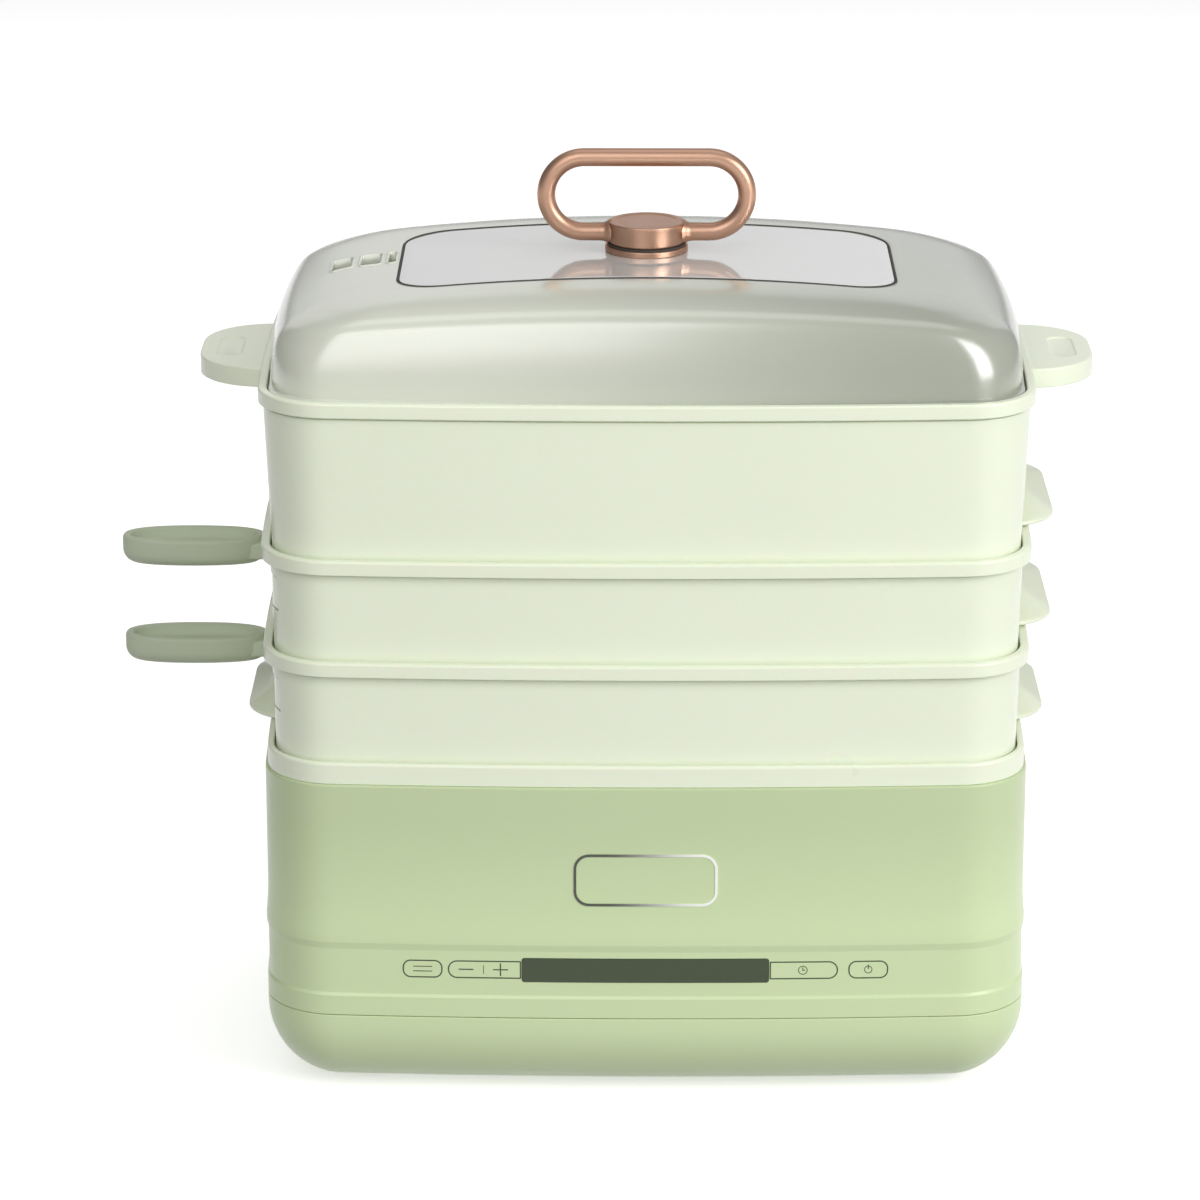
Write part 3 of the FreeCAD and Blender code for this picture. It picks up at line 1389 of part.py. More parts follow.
def build_tray(label, rim_top):
    """Shallow pressed tray with drafted walls and a flat flange."""
    body = new_body(label)
    top = rim_top - S.flange_drop
    bottom = top - S.tray_gauge - S.tray_depth
    flange_level = top - S.tray_gauge
    gauge, draft = S.tray_gauge, S.tray_draft

    def ring(name, level, grow, corner, left=None):
        sketch = new_sketch(body, name, offset=level)
        draw_rounded_rectangle(
            sketch, left or -S.tray_left - grow, S.tray_right + grow,
            -TRAY_HALF_WIDTH - grow, TRAY_HALF_WIDTH + grow, corner,
        )
        return sketch
    loft(body, [ring("BowlFoot", bottom, -draft, S.tray_corner - draft),
                ring("BowlHead", flange_level, ZERO, S.tray_corner)], "Bowl")
    flange = ring("FlangePlan", flange_level, S.tray_flange, S.tray_flange,
                  S.shutter_thickness - S.shutter_outer_x)
    pad(body, flange, gauge, "Flange")
    mouth = ring("MouthPlan", top, -gauge, S.tray_corner - gauge)
    pocket(body, mouth, gauge, "Mouth")
    loft(body, [ring("HollowFoot", bottom + gauge, -draft - gauge, S.tray_corner - draft - gauge),
                ring("HollowHead", flange_level, -gauge, S.tray_corner - gauge)],
         "Hollow", cut=True)
    return body


def build_shutter(label, rim_top):
    """Plate that closes the slot when the drawer is in, slit for the bracket."""
    body = new_body(label)
    face = new_sketch(body, "Face", "YZ_Plane", -S.shutter_outer_x)
    high = rim_top - S.slot_drop - S.side_gap
    low = rim_top - S.slot_drop - S.slot_height + S.side_gap
    half = SLOT_HALF_LENGTH - S.side_gap
    draw_rectangle(face, -half, half, low, high)
    pad(body, face, S.shutter_thickness, "Plate")
    slit = new_sketch(body, "Slit", "YZ_Plane", -S.shutter_outer_x)
    draw_bracket_hole(slit, rim_top)
    pocket(body, slit, S.shutter_thickness, "SlitPocket", up=True)
    return body


def draw_bracket_hole(sketch, rim_top):
    half = S.bracket_half_width + S.seat_gap
    low = rim_top - S.bracket_drop - S.seat_gap
    draw_rectangle(sketch, -half, half, low, low + S.bracket_gauge + S.seat_gap * 2)


def build_bracket(label, rim_top):
    """Bent strip: its tab is welded to the tray's end wall, its tongue runs in the handle."""
    body = new_body(label)
    profile = new_sketch(body, "Profile", "XZ_Plane", -S.bracket_half_width)
    low = rim_top - S.bracket_drop
    high = low + S.bracket_gauge
    tab_right = -S.tray_left
    tab_left = tab_right - S.bracket_gauge
    tab_top = rim_top - S.flange_drop - S.tray_gauge
    draw_polygon(profile, [
        (-S.bracket_reach, low), (tab_right, low), (tab_right, tab_top),
        (tab_left, tab_top), (tab_left, high), (-S.bracket_reach, high),
    ])
    pad(body, profile, S.bracket_half_width * 2, "Strip")
    holes = new_sketch(body, "Holes", offset=high)
    for across in pan_screw_places():
        draw_circle(holes, -across, ZERO, S.screw_radius)
    pocket(body, holes, S.bracket_gauge, "HolePockets")
    return body


def build_handle(label, rim_top):
    """Oval grip with a dished top, a slimmer neck towards the wall and a slot for the bracket."""
    body = new_body(label)
    top = rim_top - S.handle_drop
    bottom = top - S.handle_thickness
    middle = -(S.handle_reach + S.handle_root) / 2
    half_length = (S.handle_reach - S.handle_root) / 2
    plan = new_sketch(body, "GripPlan", offset=bottom)
    draw_ellipse(plan, middle, ZERO, half_length, S.handle_half_width)
    solid = pad(body, plan, S.handle_thickness, "Grip")
    edges = edges_where(solid, lambda edge: flat_at(edge, bottom))
    fillet(body, solid, edges, S.handle_edge, "GripEdge")
    neck = new_sketch(body, "NeckPlan", offset=bottom + S.handle_neck_rise)
    draw_rectangle(neck, -S.handle_neck_reach, -S.shutter_outer_x,
                   -S.handle_neck_half_width, S.handle_neck_half_width)
    pad(body, neck, S.handle_thickness - S.handle_neck_rise, "Neck")
    wall = S.handle_dish_wall
    dish = new_sketch(body, "DishPlan", offset=top)
    draw_ellipse(dish, middle, ZERO, half_length - wall, S.handle_half_width - wall)
    pocket(body, dish, S.handle_dish_depth, "Dish")
    slot = new_sketch(body, "BracketSlot", "YZ_Plane", -S.shutter_outer_x)
    draw_bracket_hole(slot, rim_top)
    pocket(body, slot, S.bracket_reach - S.shutter_outer_x + S.seat_gap, "BracketSlotPocket")
    wells = new_sketch(body, "ScrewWells", offset=bottom)
    bores = new_sketch(body, "ScrewBores", offset=bottom)
    for across in pan_screw_places():
        draw_circle(wells, -across, ZERO, S.screw_head_radius + S.seat_gap)
        draw_circle(bores, -across, ZERO, S.screw_radius)
    pocket(body, wells, S.handle_edge / 2 + S.screw_head_height, "Wells", up=True)
    reach = rim_top - S.bracket_drop + S.bracket_gauge + S.seat_gap - bottom
    pocket(body, bores, reach, "Bores", up=True)
    return body


# Lid


def lid_section(body, name, shares, shrink, shell):
    """One level of the lid's form, moved in by a wall where it is the inner form."""
    up, wide, deep, round_share = shares
    sketch = new_sketch(body, name, offset=LID_BASE + S.lid_rise * up - shrink)
    draw_bowed_outline(
        sketch,
        S.lid_half_width * wide - shell,
        S.lid_half_depth * deep - shell,
        S.lid_corner * round_share - shell,
        S.front_bow / 2,
        S.side_bow / 2,
    )
    return sketch


def crown_cylinder(name, drop):
    """The wide cylinder whose top is the lid's crown, lowered by a drop."""
    crown = doc.addObject("Part::Cylinder", name)
    radius = S.lid_crown_radius - drop
    bind(crown, "Radius", radius)
    bind(crown, "Height", S.base_depth)
    crown.Placement = Placement(Vector(0, 0, 0), Rotation(Vector(1, 0, 0), QUARTER_TURN))
    bind(crown, "Placement.Base.x", CENTRE_SHIFT)
    bind(crown, "Placement.Base.y", HALF_DEPTH)
    bind(crown, "Placement.Base.z", CROWN_TOP - S.lid_crown_radius)
    return crown


def combine(kind, label, base, tool):
    result = doc.addObject(f"Part::{kind}", label)
    result.Label = label
    result.Base = base
    result.Tool = tool
    return result


def build_lid_shell():
    """Domed shell: sections swept up to the crown, hollowed, with flange, window bed and vents."""
    outer = new_body("LidOuterForm")
    sections = [
        lid_section(outer, f"Level{i}", shares, ZERO, ZERO)
        for i, shares in enumerate(LID_SECTION_SHARES)
    ]
    loft(outer, sections, "OuterLoft", ruled=False)
    dome = combine("Common", "LidDome", outer, crown_cylinder("OuterCrown", ZERO))
    doc.recompute()
    rounded = doc.addObject("Part::Fillet", "LidShoulder")
    rounded.Base = dome
    level = CROWN_TOP.value - S.lid_shoulder.value * 2
    picks = [
        (number, S.lid_shoulder.value, S.lid_shoulder.value)
        for number, edge in enumerate(dome.Shape.Edges, start=1)
        if edge.BoundBox.ZMin > level and on_crown(edge)
    ]
    rounded.Edges = picks

    inner = new_body("LidInnerForm")
    inner_sections = [
        lid_section(inner, f"Level{i}", shares, S.lid_wall, S.lid_wall)
        for i, shares in enumerate(LID_SECTION_SHARES)
    ]
    loft(inner, inner_sections, "InnerLoft", ruled=False)
    room = combine("Common", "LidRoom", inner, crown_cylinder("InnerCrown", S.lid_top_wall))

    flange = new_body("LidFlangeForm")
    plan = outline(flange, "FlangePlan", LID_SEAT, FOOT_INSET)
    pad(flange, plan, LID_BASE - LID_SEAT, "FlangePad")
    hole = new_sketch(flange, "FlangeHole", offset=LID_BASE)
    draw_bowed_outline(hole, S.lid_half_width - S.lid_wall, S.lid_half_depth - S.lid_wall,
                       S.lid_corner * LID_SECTION_SHARES[0][3] - S.lid_wall,
                       S.front_bow / 2, S.side_bow / 2)
    pocket(flange, hole, LID_BASE - LID_SEAT, "FlangeBore")

    hollowed = combine("Cut", "LidHollowed", rounded, room)
    flanged = combine("Fuse", "LidFlanged", hollowed, flange)
    bedded = combine("Cut", "LidBedded", flanged, window_bed())
    vented = combine("Cut", "LidVented", bedded, vent_openings())
    return combine("Cut", "lid_shell", vented, screw_bore("LidBoreForm"))


def on_crown(edge):
    """True where an edge's middle lies on the crown cylinder."""
    middle = edge.valueAt((edge.FirstParameter + edge.LastParameter) / 2)
    x = middle.x - CENTRE_SHIFT.value
    z = middle.z - (CROWN_TOP - S.lid_crown_radius).value
    return abs(math.hypot(x, z) - S.lid_crown_radius.value) < S.seat_gap.value / 2


def window_prism(label, grow):
    body = new_body(label)
    plan = new_sketch(body, "WindowPlan", offset=LID_BASE + S.lid_rise / 2)
    draw_rounded_rectangle(
        plan, -S.window_half_width - grow, S.window_half_width + grow,
        -S.window_half_depth - grow, S.window_half_depth + grow, S.window_corner + grow,
    )
    pad(body, plan, S.lid_rise, "WindowPrism")
    return body


def window_bed():
    """The bed of the window: a rounded prism down to a crown below the lid's own."""
    drop = S.window_thickness + S.window_bed
    return combine("Cut", "WindowBed", window_prism("WindowBedPrism", S.window_groove),
                   crown_cylinder("WindowBedCrown", drop))


def vent_openings():
    """Three slots near the left shoulder that let steam out."""
    body = new_body("VentForm")
    plan = new_sketch(body, "VentPlan", offset=LID_BASE + S.lid_rise / 2)
    for index in range(LID_VENT_COUNT):
        across = S.vent_spacing * index - S.vent_x
        draw_rounded_rectangle(
            plan, across - S.vent_width / 2, across + S.vent_width / 2,
            S.vent_y - S.vent_length / 2, S.vent_y + S.vent_length / 2, S.vent_width / 4,
        )
    pad(body, plan, S.lid_rise, "VentPad")
    return body


def screw_bore(label):
    """The hole for the knob's screw."""
    body = new_body(label)
    plan = new_sketch(body, "BorePlan", offset=LID_BASE)
    draw_circle(plan, ZERO, ZERO, S.lid_screw_radius + S.side_gap)
    pad(body, plan, S.lid_rise * 2, "BorePad")
    return body


def build_window():
    """Clear panel that lies in the bed and follows the crown."""
    prism = window_prism("WindowPrismForm", ZERO)
    crowned = combine("Common", "WindowCrowned", prism, crown_cylinder("WindowTop", ZERO))
    hollow = combine("Cut", "WindowPlate", crowned,
                     crown_cylinder("WindowUnderside", S.window_thickness))
    return combine("Cut", "window_panel", hollow, screw_bore("WindowBoreForm"))


def stacked_ring(label, level, radius, height, bore):
    body = new_body(label)
    plan = new_sketch(body, "RingPlan", offset=level)
    draw_circle(plan, ZERO, ZERO, radius)
    draw_circle(plan, ZERO, ZERO, bore)
    pad(body, plan, height, "RingPad")
    return body


def build_knob_and_loop():
    """Base ring, gasket, knob and loop, held by one screw with a washer from inside the lid."""
    bore = S.lid_screw_radius + S.side_gap
    base_level = CROWN_TOP
    base = stacked_ring("knob_base_ring", base_level, S.knob_base_radius, S.knob_base_height, bore)
    edges = edges_where(base.Tip, lambda edge: flat_at(edge, base_level + S.knob_base_height)
                        and edge.BoundBox.XLength > bore.value * 4)
    fillet(base, base.Tip, edges, S.knob_edge / 2, "BaseEdge")
    gasket_level = base_level + S.knob_base_height
    stacked_ring("knob_gasket", gasket_level, S.knob_gasket_radius, S.knob_gasket_height, bore)

    knob_level = gasket_level + S.knob_gasket_height
    knob = new_body("knob")
    plan = new_sketch(knob, "KnobPlan", offset=knob_level)
    draw_circle(plan, ZERO, ZERO, S.knob_radius)
    solid = pad(knob, plan, S.knob_height, "KnobPad")
    top = knob_level + S.knob_height
    edges = edges_where(solid, lambda edge: flat_at(edge, top))
    fillet(knob, solid, edges, S.knob_edge, "KnobEdge")
    bar_level = top - S.loop_roof - S.loop_bar_radius
    bar = new_sketch(knob, "BarBore", "YZ_Plane", S.knob_radius + S.overrun)
    draw_circle(bar, ZERO, bar_level, S.loop_bar_radius + S.loop_bore_gap)
    pocket(knob, bar, (S.knob_radius + S.overrun) * 2, "BarBorePocket")
    screw = new_sketch(knob, "ScrewBore", offset=knob_level)
    draw_circle(screw, ZERO, ZERO, S.lid_screw_radius + S.screw_bore_gap)
    low_bar = bar_level - S.loop_bar_radius - S.seat_gap
    pocket(knob, screw, low_bar - knob_level, "ScrewBorePocket", up=True)

    build_loop(bar_level)
    build_lid_screw(low_bar)


def build_loop(bar_level):
    """Oval ring bent from round bar; its lower run passes through the knob."""
    body = new_body("lid_loop")
    r = S.loop_bar_radius
    bend = (S.loop_height - r * 2) / 2
    half = S.loop_width / 2 - r - bend
    spine = new_sketch(body, "LoopPath", "XZ_Plane")
    x, z, b = half.value, bar_level.value, bend.value
    quarter = math.pi / 2
    path = [
        line(spine, (-x, z), (x, z)),
        arc(spine, (x, z + b), b, -quarter, quarter),
        line(spine, (x, z + 2 * b), (-x, z + 2 * b)),
        arc(spine, (-x, z + b), b, quarter, 3 * quarter),
    ]
    for i in range(4):
        relate(spine, "Tangent", path[i], 2, path[(i + 1) % 4], 1)
    relate(spine, "Equal", path[1], path[3])
    limit(spine, "Radius", path[1], bend)
    place_point(spine, path[1], 3, half, bar_level + bend)
    place_point(spine, path[3], 3, -half, bar_level + bend)
    profile = new_sketch(body, "BarSection", "YZ_Plane")
    draw_circle(profile, ZERO, bar_level, r)
    pipe = body.newObject("PartDesign::AdditivePipe", "Loop")
    pipe.Profile = profile
    pipe.Spine = (spine, [])
    return body


def build_lid_screw(bore_top):
    plate_top = CROWN_TOP - S.lid_top_wall
    washer_bottom = plate_top - S.lid_washer_thickness - S.seat_gap / 3
    stacked_ring("lid_washer", washer_bottom, S.lid_washer_radius, S.lid_washer_thickness,
                 S.lid_screw_radius + S.side_gap / 2)
    body = new_body("lid_screw")
    head_level = washer_bottom - S.lid_screw_head_height
    head = new_sketch(body, "Head", offset=head_level)
    draw_circle(head, ZERO, ZERO, S.lid_screw_head_radius)
    solid = pad(body, head, S.lid_screw_head_height, "HeadPad")
    edges = edges_where(solid, lambda edge: flat_at(edge, head_level))
    fillet(body, solid, edges, S.knob_edge, "HeadEdge")
    stem = new_sketch(body, "Shank", offset=washer_bottom)
    draw_circle(stem, ZERO, ZERO, S.lid_screw_radius)
    pad(body, stem, bore_top - washer_bottom - S.seat_gap, "ShankPad")
    return body


# Assembly


def build_all():
    build_main_shell()
    build_bottom_shell()
    build_feet()
    build_housing_screws()
    build_collar()
    build_basin()
    build_basin_gasket()
    build_heater()
    build_power_board()
    build_controls()
    build_inlet()
    grip = (S.grip_reach, S.grip_half_length)
    low_grip = (S.low_grip_reach, S.low_grip_half_length)
    build_tier("tier_3_frame", RIM_3, S.low_tier_rise, S.low_wall_inset, (-1, 1), low_grip,
               True, False)
    build_tier("tier_2_frame", RIM_2, S.low_tier_rise, S.low_wall_inset, (1,), grip, True, False)
    build_tier("tier_1_frame", RIM_1, S.tall_tier_rise, S.tall_wall_inset, (1,), grip,
               False, True)
    build_grate()
    build_pan("upper_pan", RIM_2)
    build_pan("lower_pan", RIM_3)
    build_lid_shell()
    build_window()
    build_knob_and_loop()


def final_parts():
    """The objects that are pieces: labelled in lower case and used by no other shape."""
    kinds = ("PartDesign::Body", "Part::Compound", "Part::Cut")
    parts = []
    for item in doc.Objects:
        if item.TypeId not in kinds or not item.Label.islower():
            continue
        users = [user for user in item.InList if user.TypeId in kinds]
        if not users:
            parts.append(item)
    return parts


def check_document():
    doc.recompute()
    for item in doc.Objects:
        bad = [state for state in item.State if state in ("Invalid", "Error")]
        if bad:
            raise RuntimeError(f"{item.Label} ({item.Name}) is {bad}")
    for item in final_parts():
        if item.Shape.isNull() or not item.Shape.isValid() or not item.Shape.Solids:
            raise RuntimeError(f"{item.Label} has no sound shape")


def write_parts():
    os.makedirs(PARTS_FOLDER, exist_ok=True)
    for item in final_parts():
        item.Shape.exportStep(os.path.join(PARTS_FOLDER, f"{item.Label}.step"))
        box = item.Shape.BoundBox
        print(f"{item.Label:24s} solids {len(item.Shape.Solids):2d} volume {item.Shape.Volume:12.1f}"
              f" x {box.XMin:8.2f} {box.XMax:8.2f} y {box.YMin:8.2f} {box.YMax:8.2f}"
              f" z {box.ZMin:7.2f} {box.ZMax:7.2f}")


build_all()
check_document()
write_parts()
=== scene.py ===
"""Looks of the three-tier noodle roll steamer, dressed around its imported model.

Every length is in metres. The front faces -Y, the drawer handles point to -X.
"""

import json
import logging
import math
from collections.abc import Sequence
from dataclasses import dataclass, field
from enum import Enum

import bmesh
import bpy
from mathutils import Matrix, Vector
from mathutils.kdtree import KDTree


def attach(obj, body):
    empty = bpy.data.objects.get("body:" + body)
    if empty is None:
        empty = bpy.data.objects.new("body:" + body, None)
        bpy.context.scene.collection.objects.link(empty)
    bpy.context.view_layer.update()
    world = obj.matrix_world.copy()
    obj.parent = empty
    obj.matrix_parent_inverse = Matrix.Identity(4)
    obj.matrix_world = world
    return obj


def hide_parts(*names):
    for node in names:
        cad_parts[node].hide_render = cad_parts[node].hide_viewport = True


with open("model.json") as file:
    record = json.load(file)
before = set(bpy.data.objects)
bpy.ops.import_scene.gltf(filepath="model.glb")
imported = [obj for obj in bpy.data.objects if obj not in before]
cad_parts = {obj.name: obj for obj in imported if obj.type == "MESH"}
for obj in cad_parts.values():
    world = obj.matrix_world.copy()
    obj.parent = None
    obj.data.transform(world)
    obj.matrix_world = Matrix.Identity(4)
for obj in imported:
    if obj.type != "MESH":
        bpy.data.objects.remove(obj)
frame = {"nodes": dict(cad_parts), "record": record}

LOG = logging.getLogger("steamer")

# The stack's middle lies right of the origin, because the drawer handles reach out to the left.
CENTRE_X = 0.019

# Levels of the three rims, and how far each kind of tier lifts the one above.
RIM_3, RIM_2, RIM_1 = 0.205, 0.251, 0.321
DRAWER_RISE, TALL_RISE = 0.046, 0.070

WELD = 2e-6
PIECE_SMOOTH = math.radians(38)
QUARTER = math.pi / 2

# Share of a profile's side that a rounding may take, and of it that the holding point stands off.
ROUNDING_ROOM = 0.42
HOLD_SHARE = 0.14

# How the noise patterns act on colour and gloss.
WHITE = (1.0, 1.0, 1.0, 1.0)
SCATTER_DEPTH = 0.004
MARKS_FINENESS = 14
CLOUD_SPAN = (0.3, 0.7)
MARKS_SPAN = (0.4, 0.85)
GRAIN_TRACE = 0.22
GRAIN_TRACE_IN_PAINTED_SHADING = 0.04
LEAST_ROUGHNESS = 0.02

Ring = list[Vector]
Plan = list[tuple[float, float]]
Rgb = tuple[float, float, float]


class Body(Enum):
    """The model's bodies that new pieces ride on."""

    BASE = "base"
    TIER_3 = "tier_3"
    TIER_2 = "tier_2"
    TIER_1 = "tier_1"
    LID = "lid"
    UPPER_PAN = "upper_pan"
    LOWER_PAN = "lower_pan"


class Side(Enum):
    """Left or right of the stack, as the sign of X."""

    LEFT = -1
    RIGHT = 1


class Grain(Enum):
    """How a surface's fine relief runs: stretch of the pattern along X, Y and Z."""

    EVEN = (1.0, 1.0, 1.0)
    ALONG_X = (0.02, 1.0, 1.0)


# Finishes


def tone(red: int, green: int, blue: int) -> Rgb:
    """Turns a screen colour into the linear colour that a shader takes.

    Args:
        red: Red, 0 to 255.
        green: Green, 0 to 255.
        blue: Blue, 0 to 255.

    Returns:
        The linear colour.
    """
    def linear(part: int) -> float:
        share = part / 255
        return share / 12.92 if share <= 0.04045 else ((share + 0.055) / 1.055) ** 2.4

    return linear(red), linear(green), linear(blue)


@dataclass(frozen=True)
class Finish:
    """A procedural surface: two tones, uneven gloss and a fine relief; with a painted shading span
    the two tones are painted light and shade along one axis.
    """

    name: str
    colour: Rgb
    drift_and_shading: Rgb
    roughness: float
    gloss_spread: float = 0.05
    metallic: float = 0.0
    coat: float = 0.0
    coat_roughness: float = 0.08
    transmission: float = 0.0
    ior: float = 1.48
    subsurface: float = 0.0
    glow: float = 0.0
    # Span along one axis over which the colour is painted light and shade, in place of random
    # clouds.
    painted_shading: tuple[float, float] | None = None
    painted_shading_axis: str = "X"
    grain: Grain = Grain.EVEN
    cloud_scale: float = 9.0
    grain_scale: float = 900.0
    relief: float = 0.00002
    relief_strength: float = 0.25
    scuffs: float = 0.08

    def make(self) -> bpy.types.Material:
        """Builds the material.

        Returns:
            The finished material, with all its patterns on object coordinates.
        """
        material = bpy.data.materials.new(self.name)
        material.use_nodes = True
        tree = material.node_tree
        shader = tree.nodes["Principled BSDF"]
        self.set_shader(shader)

        place = tree.nodes.new("ShaderNodeTexCoord")
        clouds = self.noise(tree, place, self.cloud_scale, 3.0, Grain.EVEN)
        fine = self.noise(tree, place, self.grain_scale, 2.0, self.grain)
        marks = self.noise(tree, place, self.cloud_scale * MARKS_FINENESS, 5.0, self.grain)
        # Random clouds drift the colour, except where a painted shading span paints light and
        # shade instead.
        drift_and_shading = clouds.outputs["Fac"] if self.painted_shading is None else self.paint_shading(tree, place)
        self.mix_tones(tree, drift_and_shading, fine, shader)
        self.vary_gloss(tree, clouds, marks, shader)
        self.raise_relief(tree, fine, shader)
        return material

    def set_shader(self, shader: bpy.types.Node) -> None:
        """Sets the values that are the same all over the surface.

        Args:
            shader: The material's shader node.
        """
        values = {
            "Metallic": self.metallic,
            "Coat Weight": self.coat,
            "Coat Roughness": self.coat_roughness,
            "Transmission Weight": self.transmission,
            "IOR": self.ior,
            "Subsurface Weight": self.subsurface,
            "Subsurface Scale": SCATTER_DEPTH,
            "Emission Color": WHITE,
            "Emission Strength": self.glow,
        }
        for socket, value in values.items():
            shader.inputs[socket].default_value = value

    @staticmethod
    def noise(tree: bpy.types.NodeTree, place: bpy.types.Node, scale: float,
              detail: float, grain: Grain) -> bpy.types.Node:
        """Adds a noise pattern.

        Args:
            tree: The material's node tree.
            place: The texture coordinate node.
            scale: Grains to a metre.
            detail: Finer layers of noise.
            grain: The way that the pattern is drawn out.

        Returns:
            The noise node.
        """
        stretch = tree.nodes.new("ShaderNodeMapping")
        stretch.inputs["Scale"].default_value = grain.value
        pattern = tree.nodes.new("ShaderNodeTexNoise")
        pattern.inputs["Scale"].default_value = scale
        pattern.inputs["Detail"].default_value = detail
        tree.links.new(place.outputs["Object"], stretch.inputs["Vector"])
        tree.links.new(stretch.outputs["Vector"], pattern.inputs["Vector"])
        return pattern

    def paint_shading(self, tree: bpy.types.NodeTree, place: bpy.types.Node
                   ) -> bpy.types.NodeSocket:
        """Paints light and shade as an even change along one axis over the painted shading span.

        Args:
            tree: The material's node tree.
            place: The texture coordinate node.

        Returns:
            The socket that carries it.
        """
        parts = tree.nodes.new("ShaderNodeSeparateXYZ")
        span = tree.nodes.new("ShaderNodeMapRange")
        span.interpolation_type = "SMOOTHSTEP"
        span.inputs["From Min"].default_value, span.inputs["From Max"].default_value = self.painted_shading
        tree.links.new(place.outputs["Object"], parts.inputs["Vector"])
        tree.links.new(parts.outputs[self.painted_shading_axis], span.inputs["Value"])
        return span.outputs["Result"]

    def mix_tones(self, tree: bpy.types.NodeTree, drift_and_shading: bpy.types.NodeSocket,
                  fine: bpy.types.Node, shader: bpy.types.Node) -> None:
        """Mixes the colour between its two tones, with a trace of the grain: random clouds set the
        mix, and painted light and shade set it where the finish has a painted shading span.

        Args:
            tree: The material's node tree.
            drift_and_shading: The socket that the mix follows: random clouds, and painted light
                and shade where a painted shading span is set.
            fine: The fine pattern.
            shader: The shader node.
        """
        spread = tree.nodes.new("ShaderNodeMath")
        spread.operation = "MULTIPLY_ADD"
        spread.inputs[1].default_value = (
            GRAIN_TRACE if self.painted_shading is None else GRAIN_TRACE_IN_PAINTED_SHADING)
        mixer = tree.nodes.new("ShaderNodeMix")
        mixer.data_type = "RGBA"
        mixer.inputs["A"].default_value = (*self.colour, 1.0)
        mixer.inputs["B"].default_value = (*self.drift_and_shading, 1.0)
        tree.links.new(fine.outputs["Fac"], spread.inputs[0])
        tree.links.new(drift_and_shading, spread.inputs[2])
        tree.links.new(spread.outputs["Value"], mixer.inputs["Factor"])
        tree.links.new(mixer.outputs["Result"], shader.inputs["Base Color"])

    def vary_gloss(self, tree: bpy.types.NodeTree, clouds: bpy.types.Node,
                   marks: bpy.types.Node, shader: bpy.types.Node) -> None:
        """Makes the gloss uneven, with faint handling marks.

        Args:
            tree: The material's node tree.
            clouds: The wide pattern.
            marks: The pattern of the marks.
            shader: The shader node.
        """
        low = max(self.roughness - self.gloss_spread, LEAST_ROUGHNESS)
        base = tree.nodes.new("ShaderNodeMapRange")
        base.inputs["From Min"].default_value, base.inputs["From Max"].default_value = CLOUD_SPAN
        base.inputs["To Min"].default_value = low
        base.inputs["To Max"].default_value = self.roughness + self.gloss_spread
        worn = tree.nodes.new("ShaderNodeMapRange")
        worn.inputs["From Min"].default_value, worn.inputs["From Max"].default_value = MARKS_SPAN
        worn.inputs["To Max"].default_value = self.scuffs
        total = tree.nodes.new("ShaderNodeMath")
        total.operation = "ADD"
        total.use_clamp = True
        tree.links.new(clouds.outputs["Fac"], base.inputs["Value"])
        tree.links.new(marks.outputs["Fac"], worn.inputs["Value"])
        tree.links.new(base.outputs["Result"], total.inputs[0])
        tree.links.new(worn.outputs["Result"], total.inputs[1])
        tree.links.new(total.outputs["Value"], shader.inputs["Roughness"])

    def raise_relief(self, tree: bpy.types.NodeTree, fine: bpy.types.Node,
                     shader: bpy.types.Node) -> None:
        """Gives the surface its fine relief.

        Args:
            tree: The material's node tree.
            fine: The pattern of the relief.
            shader: The shader node.
        """
        bump = tree.nodes.new("ShaderNodeBump")
        bump.inputs["Strength"].default_value = self.relief_strength
        bump.inputs["Distance"].default_value = self.relief
        tree.links.new(fine.outputs["Fac"], bump.inputs["Height"])
        tree.links.new(bump.outputs["Normal"], shader.inputs["Normal"])


